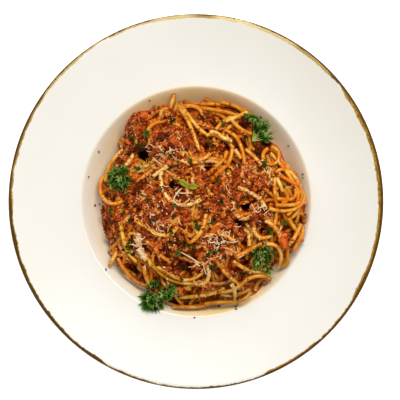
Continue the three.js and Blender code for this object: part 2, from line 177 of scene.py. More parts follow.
def plateTop(r):
    # level floor, then a wall (q t^p - p t^q) / (q - p) that steepens up to its shoulder, then a
    # rim that climbs as a power curve
    p = plateForm
    t = np.clip((r - p["floorRadius"]) / (p["wellRadius"] - p["floorRadius"]), 0, 1)
    low, high = p["wallSweep"], p["shoulder"]
    rise = (high * t ** low - low * t ** high) / (high - low)
    wall = p["floorHeight"] + (p["wellHeight"] - p["floorHeight"]) * rise
    u = np.clip((r - p["wellRadius"]) / (p["rimRadius"] - p["wellRadius"]), 0, None)
    return wall + (p["rimHeight"] - p["wellHeight"]) * u ** p["rimCurve"]


def byAngle(lobes, angle):
    # a sum of bells, each with its direction, its size and its half-width in degrees
    total = np.zeros_like(angle)
    for direction, size, width in lobes:
        off = (np.degrees(angle) - direction + 540) % 360 - 180
        total += size * np.exp(-(off / width) ** 2)
    return total


def bells(x, y, spots, wider=0.0):
    # a sum of round bells, each with its centre, its radius and its height
    return sum(height * np.exp(-((x - cx) ** 2 + (y - cy) ** 2) / (radius + wider) ** 2)
               for cx, cy, radius, height in spots)


def heapEdge(angle):
    return heapForm["edgeRadius"] + heapForm["lean"] * np.cos(angle) + byAngle(heapForm["lobes"], angle)


def inset(x, y):
    # how far inside the heap's outline a point lies
    return heapEdge(np.arctan2(y, x)) - np.hypot(x, y)


def heapTop(x, y):
    # a dome from the peak to a thick edge on the plate, with bell-shaped mounds and hollows
    edge = heapEdge(np.arctan2(y, x))
    out = np.hypot(x, y) / edge
    edgeHeight = plateTop(edge) + heapForm["edgeThickness"]
    dome = heapForm["peak"] + (edgeHeight - heapForm["peak"]) * out ** heapForm["fall"]
    return dome + np.clip((1.05 - out) / 0.25, 0, 1) * bells(x, y, heapForm["mounds"])


def gapDepth(x, y, wider=0.0):
    # how deep the dark gaps are here
    return bells(x, y, heapForm["gaps"], wider)


def coreTop(x, y):
    return heapTop(x, y) - heapForm["coreDrop"] - gapDepth(x, y)


# A height map of what has been laid so far, so that each thing rests on those before it

mapForm = {"half": 96.0, "cell": 0.5}
mapAxis = np.arange(-mapForm["half"], mapForm["half"] + 0.1, mapForm["cell"])
mapX, mapY = np.meshgrid(mapAxis, mapAxis, indexing="ij")
ground = np.maximum(coreTop(mapX, mapY), plateTop(np.hypot(mapX, mapY)))


def cell(v):
    return np.clip(np.rint((v + mapForm["half"]) / mapForm["cell"]).astype(int), 8, len(mapAxis) - 9)


def cellsUnder(x, y, radius):
    # the map's cells under a ball at each point, and the ball's half height over each
    reach = int(radius / mapForm["cell"])
    i, j = np.mgrid[-reach:reach + 1, -reach:reach + 1]
    apart = (i ** 2 + j ** 2) * mapForm["cell"] ** 2
    inside = apart < radius ** 2
    cells = cell(x)[:, None] + i[inside], cell(y)[:, None] + j[inside]
    return cells, np.sqrt(radius ** 2 - apart[inside])


def restHeight(x, y, radius):
    # the height of its centre at which a ball just rests on the map
    cells, cap = cellsUnder(x, y, radius)
    return (ground[cells] + cap).max(axis=1)


def deposit(x, y, z, radius):
    # balls at these places become part of the map
    cells, cap = cellsUnder(x, y, radius)
    np.maximum.at(ground, cells, z[:, None] + cap)


def blurred(values, radius):
    # a mean over a square, run twice
    reach = int(radius / mapForm["cell"])
    share = np.full(2 * reach + 1, 1 / (2 * reach + 1))
    for axis in (0, 1, 0, 1):
        padded = np.pad(values, [(reach, reach) if a == axis else (0, 0) for a in (0, 1)], "edge")
        values = np.apply_along_axis(np.convolve, axis, padded, share, "valid")
    return values


# Meshes of many like things

def ringQuads(rings, sides):
    # faces between rings of points, each ring joined to the next
    i, k = np.meshgrid(np.arange(rings - 1) * sides, np.arange(sides), indexing="ij")
    ahead = (k + 1) % sides
    return np.stack([i + k, i + sides + k, i + sides + ahead, i + ahead], -1).reshape(-1, 4)


def turned(rings, poles):
    # a closed skin: rings of points from the middle of the top out and back under it, each
    # joined to the next, and the first and the last to a pole
    n, m = rings.shape[:2]
    ring = np.arange(m)
    ahead = np.roll(ring, -1)
    fans = [np.stack([np.full(m, n * m), ring, ahead], -1),
            np.stack([np.full(m, n * m + 1), (n - 1) * m + ahead, (n - 1) * m + ring], -1)]
    return np.concatenate([rings.reshape(-1, 3), poles]), [ringQuads(n, m), np.concatenate(fans)]


def joined(parts):
    # many small meshes as one, each given as its points and its faces
    starts = np.cumsum([0] + [len(points) for points, _ in parts])
    faces = [faces + start for (_, faces), start in zip(parts, starts)]
    return np.concatenate([points for points, _ in parts]), np.concatenate(faces)


def heapRings(spokes, out, margin):
    # points on rings round the heap, each at a share of the way to a margin inside its outline
    angle = np.arange(spokes) * turn / spokes
    r = np.outer(out, heapEdge(angle) - margin)
    return r * np.cos(angle), r * np.sin(angle), r


def makeSlab(name, x, y, top, bottom, poles, tone, poleTone, material, node):
    # a closed slab between two heights over rings of points
    rings = np.append(np.stack([x, y, top], -1), np.stack([x, y, bottom], -1)[::-1], 0)
    tone = np.append(np.append(tone, tone[::-1], 0).ravel(), [poleTone, poleTone])
    makePiece(name, *turned(rings, poles), None, material, "sauce", node, tone=tone)


def shell(sheet, thickness):
    # a closed thin solid: a grid of points moved half a thickness each way along its normals,
    # with its four edges joined. Gives vertices and quads
    normal = unit(np.cross(np.gradient(sheet, axis=0), np.gradient(sheet, axis=1))) * thickness / 2
    half = normal[..., 0].size
    index = np.arange(half).reshape(sheet.shape[:2])
    upper = np.stack([index[:-1, :-1], index[1:, :-1], index[1:, 1:], index[:-1, 1:]], -1).reshape(-1, 4)
    border = np.concatenate([index[:-1, 0], index[-1, :-1], index[:0:-1, -1], index[0, :0:-1]])
    ahead = np.roll(border, -1)
    side = np.stack([border, border + half, ahead + half, ahead], -1)
    vertices = np.concatenate([sheet + normal, sheet - normal]).reshape(-1, 3)
    return vertices, np.concatenate([upper, upper[:, ::-1] + half, side])


def sweep(paths, radii, sides):
    # round strands: a circle carried along each path, square to it, with flat ends. Each strand
    # has its own strip of the UV map, length along U and girth along V. Also gives each point's
    # strand, and how far it faces up, 0 at the flanks and below to 1 along the top
    vertices, quads, tris, uvQuads, uvTris = [], [], [], [], []
    count = 0
    angles = np.arange(sides) * turn / sides
    longest = max(len(p) for p in paths)
    fan = np.stack([np.zeros(sides - 2, int), np.arange(1, sides - 1), np.arange(2, sides)], -1)
    for number, (path, radius) in enumerate(zip(paths, radii)):
        n = len(path)
        tangent = unit(np.gradient(path, axis=0))
        side = unit(np.cross(tangent, [0, 0, 1.0]))
        up = np.cross(side, tangent)
        ring = np.cos(angles)[:, None] * side[:, None] + np.sin(angles)[:, None] * up[:, None]
        vertices.append((path[:, None] + ring * np.broadcast_to(radius, n)[:, None, None]).reshape(-1, 3))
        quad = ringQuads(n, sides)[:, [0, 3, 2, 1]]
        v = (number + 0.06 + 0.88 * (quad[:, :1] % sides + [0, 1, 1, 0]) / sides) / len(paths)
        quads.append(quad + count)
        uvQuads.append(np.stack([quad // sides / longest, v], -1))
        tri = np.concatenate([fan[:, ::-1], fan + (n - 1) * sides]) + count
        ends = np.repeat([0, (n - 1) / longest], sides - 2)[:, None]
        tris.append(tri)
        uvTris.append(np.stack([ends + 0 * tri, v[0, 0] + 0.0002 * tri / tri.max()], -1))
        count += n * sides
    strand = np.repeat(np.arange(len(paths)), [len(p) * sides for p in paths])
    upward = np.tile(np.clip(np.sin(angles), 0, 1), count // sides)
    uv = [np.concatenate(uvQuads), np.concatenate(uvTris)]
    return (np.concatenate(vertices), [np.concatenate(quads), np.concatenate(tris)], uv), strand, upward


def course(x, y, heading, length, firstTurn, secondTurn):
    # points 1 mm apart along two arcs that follow each other, with a slight wander by a sine
    s = np.arange(int(round(length)))
    bend = np.where(s < len(s) / 2, firstTurn, secondTurn) * 2 / len(s)
    direction = np.radians(heading + np.cumsum(bend) + 4 * np.sin(s / 4.5 + x))
    px = x + np.append(0, np.cumsum(np.cos(direction)))
    py = y + np.append(0, np.cumsum(np.sin(direction)))
    return px, py


def smoothed(values, times=2):
    # each value mixed with its two neighbours, the ends kept
    for _ in range(times):
        middle = (values[:-2] + 2 * values[1:-1] + values[2:]) / 4
        values = np.concatenate([values[:1], middle, values[-1:]])
    return values


def layStrand(px, py, radius, stiffness, sink, above):
    # rests on the map, sunk in a little, and bends no more than a parabola over what it crosses;
    # where the pile is full it is pressed down to so far above the heap's form
    rest = restHeight(px, py, radius) - sink
    i = np.arange(len(px))
    z = smoothed((rest[None] - stiffness * (i[:, None] - i[None]) ** 2).max(axis=1))
    r = np.hypot(px, py)
    slope = (plateTop(r + 0.1) - plateTop(r - 0.1)) / 0.2
    offWall = plateTop(r) + (radius + 0.2) * np.hypot(1, slope)
    z = smoothed(np.maximum(np.minimum(z, heapTop(px, py) + above), offWall))
    deposit(px, py, z, radius)
    return np.stack([px, py, z], -1)


def aboutAxis(axis, angle):
    # rotation matrices about one axis
    i, j = (axis + 1) % 3, (axis + 2) % 3
    matrix = np.tile(np.eye(3), (len(angle), 1, 1))
    matrix[:, i, i] = matrix[:, j, j] = np.cos(angle)
    matrix[:, j, i] = np.sin(angle)
    matrix[:, i, j] = -np.sin(angle)
    return matrix


def randomTurns(rng, count, tilt):
    # turns about Z by any angle after a tilt of at most so many radians
    about = [aboutAxis(axis, rng.uniform(low, high, count))
             for axis, low, high in ((2, 0, turn), (0, -tilt, tilt), (1, -tilt, tilt))]
    return about[0] @ about[1] @ about[2]


def crumbs(rng, places, z, sizes, stretch, shapes, rounds, rough):
    # lumps: an icosphere of so many subdivision rounds, pushed in and out by smooth noise, in a
    # few shapes, then sized, turned and placed. Each has a cell of the UV map, unfolded as an
    # octahedron. Also gives the number of points in each
    mesh = bmesh.new()
    bmesh.ops.create_icosphere(mesh, subdivisions=rounds, radius=1)
    ball = np.array([v.co[:] for v in mesh.verts])
    faces = np.array([[v.index for v in f.verts] for f in mesh.faces])
    mesh.free()
    push = [ripple(ball, 1.7, 40 + k) + 0.6 * ripple(ball, 0.8, 80 + k) for k in range(shapes)]
    kinds = ball * np.clip(1 + rough * np.array(push), 0.4, 1.7)[..., None]
    count = len(sizes)
    kind = rng.integers(0, shapes, count)
    local = kinds[kind] * (np.array(stretch) * sizes[:, None] * rng.uniform(0.7, 1.35, (count, 3)))[:, None]
    local = np.einsum("nij,nvj->nvi", randomTurns(rng, count, tilt=0.7), local)
    vertices = local + np.column_stack([places, z])[:, None]
    flat = ball[:, :2] / np.abs(ball).sum(1)[:, None]
    folded = (1 - np.abs(flat[:, ::-1])) * np.where(flat >= 0, 1, -1)
    flat = np.where(ball[:, 2:] < 0, folded, flat) * 0.46 + 0.5
    number = np.arange(count)[:, None, None]
    side = math.ceil(math.sqrt(count))
    corner = np.stack([number % side, number // side], -1)
    uv = (corner + flat[faces][None]) / side
    return (vertices.reshape(-1, 3), [(faces + number * len(ball)).reshape(-1, 3)], [uv]), len(ball)


# Glazed stoneware plate with a brushed edge

plateLook = {
    "segments": 360, "lipPoints": 9, "glaze": "#f3f0ea", "cast": "#efebe3", "film": "#f0d086",
    "line": "#553a0d", "dab": "#7f540c", "dabLight": "#b88e32", "dabWorn": "#dcc688",
    # painted shade on the rim: how much of it, and the direction where it is darkest
    "thinGlaze": "#d5d1c4", "thin": 0.37, "thinnest": [(35, 0.44, 60)],
    # the brush strokes round the edge: from one angle to another in degrees, how wide the band
    # is in mm, how wide the darker line along its outer side is, a brushed line that also stands
    # for painted shade where the lip turns from the light, and how far the band turns paler
    "strokes": [
        (0, 37, 3.5, 1.6, 0), (37, 43, 1.9, 1.9, 0), (43, 58, 3.0, 1.0, 0.3), (58, 70, 2.8, 0.7, 0.7),
        (70, 84, 2.4, 0.2, 0.9), (84, 91, 2.6, 0.6, 0.2), (91, 104, 2.5, 0.2, 0.7),
        (104, 118, 1.7, 0.4, 0.5), (118, 123, 1.2, 0.3, 0.8), (123, 145, 2.2, 0.7, 0.5),
        (145, 180, 2.4, 1.2, 0.1), (180, 210, 2.7, 2.1, 0), (210, 240, 2.3, 1.9, 0),
        (240, 256, 1.7, 1.0, 0.3), (256, 272, 1.0, 0.4, 0.7), (272, 292, 1.1, 0.8, 0.5),
        (292, 309, 2.3, 1.3, 0), (309, 329, 1.9, 1.3, 0), (329, 360, 3.2, 1.7, 0),
    ],
    # painted warm shade and bounce light from the sauce on the well's wall: a part that fades out
    # between two radii all round, and more or less of it in four directions
    "filmAllRound": 0.5, "fade": (77.5, 86.5), "filmEdge": 85.4,
    "films": [(95, 0.6, 50), (285, 0.75, 30), (352, 0.2, 25), (178, -0.1, 40)],
}


def stonewareMaterial():
    # glazed stoneware, dipped and fired: a smooth off-white glass skin, faintly uneven; the edge
    # is brushed by hand with iron oxide, a dark line on the lip that also stands for painted shade
    # where the lip turns from the light, and lighter dabs inside it
    look = plateLook
    lip = plateForm["rimRadius"]
    material, tree, shader, place = newMaterial("glazedStoneware", {
        "Roughness": 0.25, "IOR": 1.5, "Coat Roughness": 0.08,
    })
    width, line, worn, film, thin = (addNode(tree, "Attribute", {"attribute_name": label})
                                     for label in ("band", "line", "worn", "film", "thin"))
    # a faint cloud in the glaze, dabs by the bristles about 2 mm across, and a 12 mm drift
    cloud, dabs, drift = (addNode(tree, "TexNoise", {**noise, "Vector": place}) for noise in (
        {"Scale": 18.0, "Detail": 2.0}, {"Scale": 420.0, "Detail": 3.0, "Roughness": 0.6},
        {"Scale": 85.0, "Detail": 2.0}))
    flat = addNode(tree, "VectorMath", {"operation": "MULTIPLY", 0: place, 1: (1, 1, 0)})
    radius = addNode(tree, "VectorMath", {"operation": "LENGTH", 0: flat})
    fromLip = addNode(tree, "MapRange", {"Value": radius, "From Min": lip * mm, "From Max": (lip - 10) * mm,
                                         "To Min": 0.0, "To Max": 10.0, "clamp": False})
    ragged, drifted = (addNode(tree, "MapRange", {"Value": noise, "From Min": 0.3, "From Max": 0.7,
                                                  "To Min": -size, "To Max": size, "clamp": False})
                       for noise, size in ((dabs, 0.45), (drift, 0.4)))
    rough = addNode(tree, "Math", {"operation": "ADD", 0: ragged, 1: drifted})
    past = addNode(tree, "Math", {"operation": "SUBTRACT", 0: rough, 1: fromLip})
    inBand, inLine = (addNode(tree, "Math", {"operation": "ADD", 0: reach, 1: past})
                      for reach in (width, line))
    band, lined = (addNode(tree, "MapRange", {"Value": inside, "From Min": low, "From Max": 0.3})
                   for inside, low in ((inBand, -0.15), (inLine, -0.3)))
    # the wall shade, painted warm shade and bounce light, broken into patches by the drift
    patchy = addNode(tree, "MapRange", {"Value": drift, "From Min": 0.35, "From Max": 0.65, "To Min": 0.8})
    filmed = addNode(tree, "Math", {"operation": "MULTIPLY", 0: film, 1: patchy})
    oxide = ramp(tree, dabs, [(0.42, look["dab"]), (0.62, look["dabLight"])])
    # the band turns paler by its pale share, and darker along its outer side: a brushed line that also
    # stands for painted shade on the lip
    for share, colour in ((worn, look["dabWorn"]), (lined, look["line"])):
        oxide = addNode(tree, "Mix", {"data_type": "RGBA", "Factor": share, 6: oxide, 7: colour})
    colour = ramp(tree, cloud, [(0.3, look["cast"]), (0.65, look["glaze"])])
    # over the glaze: painted shade on the rim, painted warm shade and bounce light on the wall, then the
    # brushed band
    for share, over in ((thin, look["thinGlaze"]), (filmed, look["film"]), (band, oxide)):
        colour = addNode(tree, "Mix", {"data_type": "RGBA", "Factor": share, 6: colour, 7: over})
    skin = addNode(tree, "Bump", {"Strength": 0.05, "Distance": 0.0004, "Height": cloud})
    # the brushed oxide is duller than the glaze
    specular, coat = (addNode(tree, "MapRange", {"Value": band, "To Min": glazed, "To Max": brushed})
                      for glazed, brushed in ((0.5, 0.08), (0.2, 0.0)))
    fill(shader, {"Base Color": colour, "Normal": skin, "Specular IOR Level": specular, "Coat Weight": coat})
    return material


def makePlate():
    # the upper face from the axis to the lip, a half-round lip, and the lower face one
    # thickness below it, square to the upper, down to the foot ring; turned about Z
    p, look = plateForm, plateLook
    half = p["thickness"] / 2
    # radii in four stretches: floor, wall, rim and lip, each with its number of points
    ends, points = [0.5, p["floorRadius"], 90, 128, p["rimRadius"] - half], [12, 60, 16, 8]
    r = np.concatenate([ends[:1]] + [np.linspace(*s)[1:] for s in zip(ends, ends[1:], points)])
    z = plateTop(r)
    slope = np.gradient(z, r)
    nr, nz = slope / np.hypot(1, slope), -1 / np.hypot(1, slope)
    a = math.atan2(-nz[-1], -nr[-1]) - np.linspace(0, math.pi, look["lipPoints"])[1:-1]
    lipR = r[-1] + nr[-1] * half + half * np.cos(a)
    lipZ = z[-1] + nz[-1] * half + half * np.sin(a)
    number = np.arange(len(r))
    keep = (r > p["footOuter"] + 3) & (number % 2 == 0) | (number == len(r) - 1)
    underR, underZ = (r + p["thickness"] * nr)[keep][::-1], (z + p["thickness"] * nz)[keep][::-1]
    base = p["floorHeight"] - p["thickness"]
    footR = [p["footOuter"] + step for step in (1.4, 0.3, -0.4, -1)]
    footR += [p["footInner"] + step for step in (1, 0.4, -0.2, -1.4)] + [30, 0.5]
    footZ = [base, base - 0.8, 0.5, 0, 0, 0.5, base - 0.8, base, base, base]
    profileR = np.concatenate([r, lipR, underR, footR])
    profileZ = np.concatenate([z, lipZ, underZ, footZ])
    n, m = len(profileR), look["segments"]
    angle = np.arange(m) * turn / m
    rings = np.stack([np.outer(profileR, np.cos(angle)), np.outer(profileR, np.sin(angle)),
                      np.outer(profileZ, np.ones(m))], -1)
    around, radius = np.append(np.tile(angle, n), [0, 0]), np.append(np.repeat(profileR, m), [0, 0])
    # the strokes as steps round the edge, softened over a few degrees
    stroke = np.array(look["strokes"])
    into, beyond = ((np.degrees(angle)[:, None] - stroke[:, k]) / 3 for k in (0, 1))
    share = np.clip(0.5 + into, 0, 1) * np.clip(0.5 - beyond, 0, 1)
    share /= share.sum(axis=1)[:, None]
    band, line, worn = (np.append(np.tile(share @ stroke[:, k], n), [0, 0]) for k in (2, 3, 4))
    # painted warm shade and bounce light on the well's wall, all round and in four directions
    near, far = look["fade"]
    film = (look["filmAllRound"] * np.clip((far - radius) / (far - near), 0, 1)
            + byAngle(look["films"], around) * np.clip((look["filmEdge"] - radius) / 1.5, 0, 1))
    # painted shade over the rim in a greyer, warmer colour, most toward 35 degrees where the rim
    # turns away from the light
    thin = look["thin"] + byAngle(look["thinnest"], around) * np.clip((radius - 90) / 38, 0, 1)
    thin = thin * np.clip((radius - 81) / 3.5, 0, 1)
    makePiece("pasta_plate", *turned(rings, [[0, 0, profileZ[0]], [0, 0, profileZ[-1]]]), None,
              stonewareMaterial(), "stoneware", "plate", band=band, line=line, worn=worn,
              film=np.clip(film, 0, 1), thin=np.clip(thin, 0, 1))


makePlate()
print("plate made")


# Boiled spaghetti

pastaLook = {
    "radius": 1.45, "stiffness": 0.02,
    "cream": "#f7cf7e", "gold": "#eba438", "orange": "#da7411", "stain": "#a84a08",
    # the loose noodles: number, lengths and bend radii in mm, and how they wander
    "under": 300, "lengths": (30, 90), "bends": (12, 60), "waves": (7, 16), "wander": 0.5,
    # tone and sauce on the flanks, which also darken them as painted shade, the change of tone to
    # the top, paler there as a painted highlight, and the hue's mean and spread
    "flankTone": 0.2, "flankSauce": 0.5, "topTone": -0.42, "hue": (0.503, 0.005),
    # painted shade, where the noodles are made darker toward the front, the back and the right:
    # along X or Y (0 or 1), from where, over how many mm, and how much
    "browned": [(1, -38, -25, 0.34), (1, 52, 10, 0.14), (0, 15, 30, 0.07)],
}

# Noodles that can be told apart: start x, y, heading in degrees, length, the turn made by the
# first and by the second half, then a tone from 0, cream, to 1, deep orange. Later ones lie over
# earlier.
noodlesUnderSauce = dict(
    brownArc=(-18, 30, 14, 29, -64, -53, 0.3),
    paleDiagonal=(-14, 28, -155, 22, 5, 3, 0.25),
    leftDiagonal=(-29, 25, -141, 18, 0, 0, 0.5),
    paleShort=(-5, 29, -37, 18, 66, 22, 0.35),
    leftArc=(-45, -10, -176, 16, 51, 24, 0.55),
    leftTopInner=(-40, 61, -102, 22, 2, 1, 0.4),
    hollowEdge=(-38, 25, 10, 20, 40, 30, 0.3),
    loopRight=(28, -8, -70, 22, 90, 70, 0.4),
    crossRight=(20, 30, -60, 26, 30, -20, 0.5),
    lowCentre=(0, -22, -30, 30, 40, -60, 0.4),
    lowLeft=(-38, -28, -20, 26, -40, 50, 0.5),
)
noodlesOnTop = dict(
    midArc=(30, 10, -8, 27, -30, -24, 0.3),
    centreLeftArc=(-44, -13, -40, 36, 10, 90, 0.55),
    crownArc=(-36, 46, 89, 34, -75, -62, 0.85),
    saucyLoop=(12, 64.5, 2, 12, -30, -30, 0.7),
    topLean=(30.5, 63.4, -160, 20, 8, 28, 0.6),
    topBandOuter=(3, 71.2, 6, 39, -12, -30, 0.85),
    topBandMiddle=(18, 72.4, -3, 22, -22, -32, 0.8),
    topBandInner=(3, 68, -4, 30, -4, -26, 0.85),
    topLoop=(-11, 67.5, 32, 19, -40, -60, 0.7),
    topStub=(-19, 68, 72, 11, 0, 0, 0.5),
    longDiagonal=(-11.8, 68, -61, 34, -2, -14, 0.5),
    topCross=(37, 65, -152, 17, -7, -3, 0.6),
    topShort=(26, 59.5, -68, 18, 30, 32, 0.55),
    rightSweep=(20.5, 51.3, -14, 31, -48, -34, 0.65),
    orangeSweep=(26, 39, -91, 32, -41, -5, 0.85),
    orangeSweepInner=(22, 36, -100, 22, -35, -5, 0.75),
    yellowWave=(-10.2, 68.6, -54, 27, 3, 14, 0.45),
    yellowWaveEnd=(7.2, 47.4, 34, 20, -70, 34, 0.4),
    yellowWaveUpper=(10, 49.8, 22, 16, -62, 30, 0.35),
    shortPale=(28, 37.6, -62, 8, 10, 0, 0.5),
    rimRunOuter=(54.5, 35.6, -43, 46, -8, -24, 0.6),
    rimRunMiddle=(61.5, 31, -45, 50, -22, -76, 0.65),
    rimRunInner=(60, 29, -43, 46, -24, -79, 0.65),
    ring=(55, 40, 0, 36, -165, -165, 0.6),
    rightDiagonal=(36, 38, -35, 31, -16, -10, 0.45),
    nestLeft=(57, 17, -101, 36, 26, -43, 0.7),
    nestBack=(60, 19, -22, 17, -4, -2, 0.85),
    nestOuter=(78.4, 5.5, -80, 33, -88, -32, 0.7),
    nestMiddle=(57.5, -2.3, -13, 28, 21, 125, 0.75),
    nestInner=(58, 2.3, -18, 20, 20, 120, 0.85),
    nestCore=(63, 9, -30, 14, -60, -90, 0.95),
    nestDrop=(58.5, 17, -67, 11, 0, 0, 0.5),
    smallArc=(58, 21, 52, 13, -58, -28, 0.6),
    lowRun=(67, -12, -60, 20, 10, -20, 0.7),
    lowBend=(50, -14, -20, 18, -30, -30, 0.45),
    curl=(51, -30.8, 10, 25, -75, -50, 0.4),
    curlOuter=(67, -33, -92, 17, 10, -100, 1.15),
    hook=(42, -18.5, -100, 18, 75, 60, 0.4),
    smallHook=(35, -20, -31, 13, -43, -19, 0.4),
    endPairLong=(76, -16, -112, 18, -9, -3, 0.55),
    bottomInner=(-12, -70, -4, 34, 14, 16, 0.5),
    bottomCross=(18, -67, -24, 22, 30, 20, 0.4),
    endPairShort=(78, -18, -95, 19, -17, -6, 0.65),
    finger=(29.5, -39.5, 31, 20, -4, -3, 0.75),
    yellowRim=(27, -43, -47, 29, 35, -13, 0.5),
    goldCross=(19, -49, -53, 21, 10, 7, 0.5),
    bottomHook=(43.5, -66, 95, 18, -50, -80, 0.45),
    lowerLoop=(52, -55, -203, 37, 67, -48, 0.45),
    shortDrop=(26, -59, -72, 16, -10, -5, 0.4),
    edgeRunLeft=(-17, -77.4, -5, 36, 12, 8, 0.6),
    edgeRunRight=(6, -75, 7, 36, -8, 50, 0.6),
    longCurve=(-37, -39, -65, 52, 40, 38, 0.68),
    longCurveInner=(-29, -47, -34, 39, 13, 73, 0.6),
    shortHook=(-1, -59, -36, 23, 95, 71, 0.45),
    leftLoop=(-68.2, 19, -133, 34, 78, 85, 0.65),
    leftEdge=(-53, 39, -134, 29, 7, 34, 0.6),
    leftShort=(-45.5, 34.5, -120, 12, -5, 0, 0.3),
    leftLong=(-55.2, -15, -86, 32, 14, 26, 0.5),
    lowerLeftRun=(-57.5, -41.5, -63, 31, 8, 55, 0.7),
    lowerLeftStub=(-57.6, -36.5, -122, 12, 5, 0, 0.55),
    shortUpright=(-38, -47, -88, 16, 11, 7, 0.5),
    cheeseNoodle=(-41, -23, -106, 21, 33, 15, 0.15),
    centreArc=(6.9, -8.5, -92, 26, -25, -28, 0.5),
    ringOfCream=(-24.5, 21.5, -112, 47, 75, 78, 0.15),
)


def pastaMaterial():
    # boiled durum wheat spaghetti, extruded, swollen and wet: satin, slightly translucent,
    # stained by oily tomato in patches a few millimetres across
    look = pastaLook
    material, tree, shader, place = newMaterial("boiledDurumPasta", {
        "Roughness": 0.2, "IOR": 1.45, "Specular IOR Level": 0.5, "Specular Tint": "#ffd08c",
        "Subsurface Weight": 0.12, "Subsurface Scale": 0.002, "Subsurface Radius": (1.0, 0.5, 0.2),
    })
    tone, depth, hue, cooked = (addNode(tree, "Attribute", {"attribute_name": label})
                                for label in ("tone", "depth", "hue", "cooked"))
    cloud = addNode(tree, "TexNoise", {"Scale": 130.0, "Detail": 2.0, "Vector": place})
    stains = addNode(tree, "TexNoise", {"Scale": 320.0, "Detail": 3.0, "Roughness": 0.6, "Vector": place})
    drift = addNode(tree, "MapRange", {"Value": cloud, "From Min": 0.3, "From Max": 0.7,
                                       "To Min": 0.05, "To Max": 0.65})
    shifted = addNode(tree, "Math", {"operation": "ADD", 0: drift, 1: tone})
    pasta = ramp(tree, shifted, [(0.3, look["cream"]), (0.68, look["gold"]), (1.0, look["orange"])])
    mask = addNode(tree, "MapRange", {"Value": stains, "From Min": 0.5, "From Max": 0.72, "To Max": 0.85})
    # the depth mixes in the stain colour, which along the flanks is also painted shade
    sunk = addNode(tree, "Math", {"operation": "MAXIMUM", 0: mask, 1: depth})
    stained = addNode(tree, "Mix", {"data_type": "RGBA", "Factor": sunk, 6: pasta, 7: look["stain"]})
    # the value darkens the colour as painted shade
    colour = addNode(tree, "HueSaturation", {"Hue": hue, "Color": stained, "Value": cooked})
    bump = addNode(tree, "Bump", {"Strength": 0.25, "Distance": 0.0003, "Height": stains})
    fill(shader, {"Base Color": colour, "Normal": bump})
    return material


def clearOfGaps(px, py):
    # the longer part of a noodle that would cross a dark gap
    crossing = np.flatnonzero(gapDepth(px, py, 1.0) > 2)
    if len(crossing) == 0:
        return px, py
    before, after = crossing[0], len(px) - crossing[-1] - 1
    part = slice(0, before) if before > after else slice(len(px) - after, None)
    return px[part], py[part]


def insideHeap(px, py, margin):
    # points past the outline are drawn in to it, so that a noodle there follows the edge
    limit = heapEdge(np.arctan2(py, px)) - margin
    share = np.minimum(1, limit / np.maximum(np.hypot(px, py), 1e-6))
    return smoothed(px * share, 6), smoothed(py * share, 6)


def untilEdge(px, py, past):
    # only the part before the noodle first goes so far past the outline
    outside = inset(px, py) < -past
    stop = np.argmax(outside) if outside.any() else len(px)
    return px[:stop], py[:stop]


def hiddenNoodles(rng):
    # loose noodles under the top ones: arcs that wander by a sine, from random places. One in
    # two ends at the heap's outline, the others turn and follow it at a little distance
    look = pastaLook
    paths = []
    for number in range(look["under"]):
        s = np.arange(int(rng.uniform(*look["lengths"])))
        direction = rng.uniform(0, turn) + s * rng.choice([-1, 1]) / rng.uniform(*look["bends"])
        wave = np.sin(s / rng.uniform(*look["waves"]) + rng.uniform(0, turn))
        direction = direction + look["wander"] * wave
        angle, out = rng.uniform(0, turn), math.sqrt(rng.uniform(0.0, 0.9))
        start = out * (heapEdge(angle) - 4)
        px = start * math.cos(angle) + np.cumsum(np.cos(direction))
        py = start * math.sin(angle) + np.cumsum(np.sin(direction))
        px, py = untilEdge(px, py, 0.5) if number % 2 else insideHeap(px, py, rng.uniform(-0.6, 15))
        px, py = clearOfGaps(px, py)
        # where sauce reaches the outline no noodle runs along it
        saucy = (sauceCover(px, py) > 0.35) & (inset(px, py) < 6)
        if len(px) >= 12 and saucy.sum() <= 6:
            above = 4.5 * number / look["under"] - 3.5
            paths.append(layStrand(px, py, look["radius"], stiffness=0.05, sink=1.0, above=above))
    return paths


def namedNoodles(noodles, sink, above):
    # the noodles of a list laid in turn, and their tones
    look = pastaLook
    paths = [layStrand(*course(*spec), look["radius"], look["stiffness"], sink, above)
             for *spec, _ in noodles.values()]
    return paths, np.array([spec[-1] for spec in noodles.values()])


def makeStrands(name, paths, tones, depth, material, sides):
    # a light wave in radius, as no boiled noodle is quite round. The sauce has run off the top
    # of each noodle and gathers along its flanks; the flanks are also darkened as painted shade,
    # and the top is made paler as a painted highlight
    look = pastaLook
    rng = np.random.default_rng(len(paths))
    waves = [0.05 * np.sin(np.arange(len(path)) / rng.uniform(4, 9)) for path in paths]
    tubes, strand, upward = sweep(paths, [look["radius"] * (1 + wave) for wave in waves], sides)
    # painted shade: a value under 1 darkens the noodles toward the front, the back and the right
    cooked = 1 - sum(much * np.clip((tubes[0][:, axis] - start) / over, 0, 1)
                     for axis, start, over, much in look["browned"])
    makePiece(name, *tubes, material, "pasta", "spaghetti",
              tone=tones[strand] + look["flankTone"] + look["topTone"] * upward,
              depth=depth[strand] + look["flankSauce"] * (1 - upward) ** 2,
              hue=rng.normal(*look["hue"], len(paths))[strand], cooked=cooked)


def makeCore(material):
    # the closed core under the noodles: the heap's form, a little lower, down to the plate
    x, y, r = heapRings(160, np.linspace(0, 0.985, 46)[1:], margin=0)
    wall = plateTop(r) + 0.2
    poles = [[0, 0, heapForm["peak"] - heapForm["coreDrop"]], [0, 0, plateForm["floorHeight"] + 0.2]]
    # a dark tone for the core, painted shade among the noodles, darker still in the gaps
    tone, gapTone = -0.02, -0.11    # in the open, and more for each mm of a gap's depth
    makeSlab("pasta_core", x, y, np.maximum(coreTop(x, y), wall + 0.4), wall, poles,
             tone + gapTone * gapDepth(x, y), tone, material, "spaghetti")


# Mince and tomato sauce

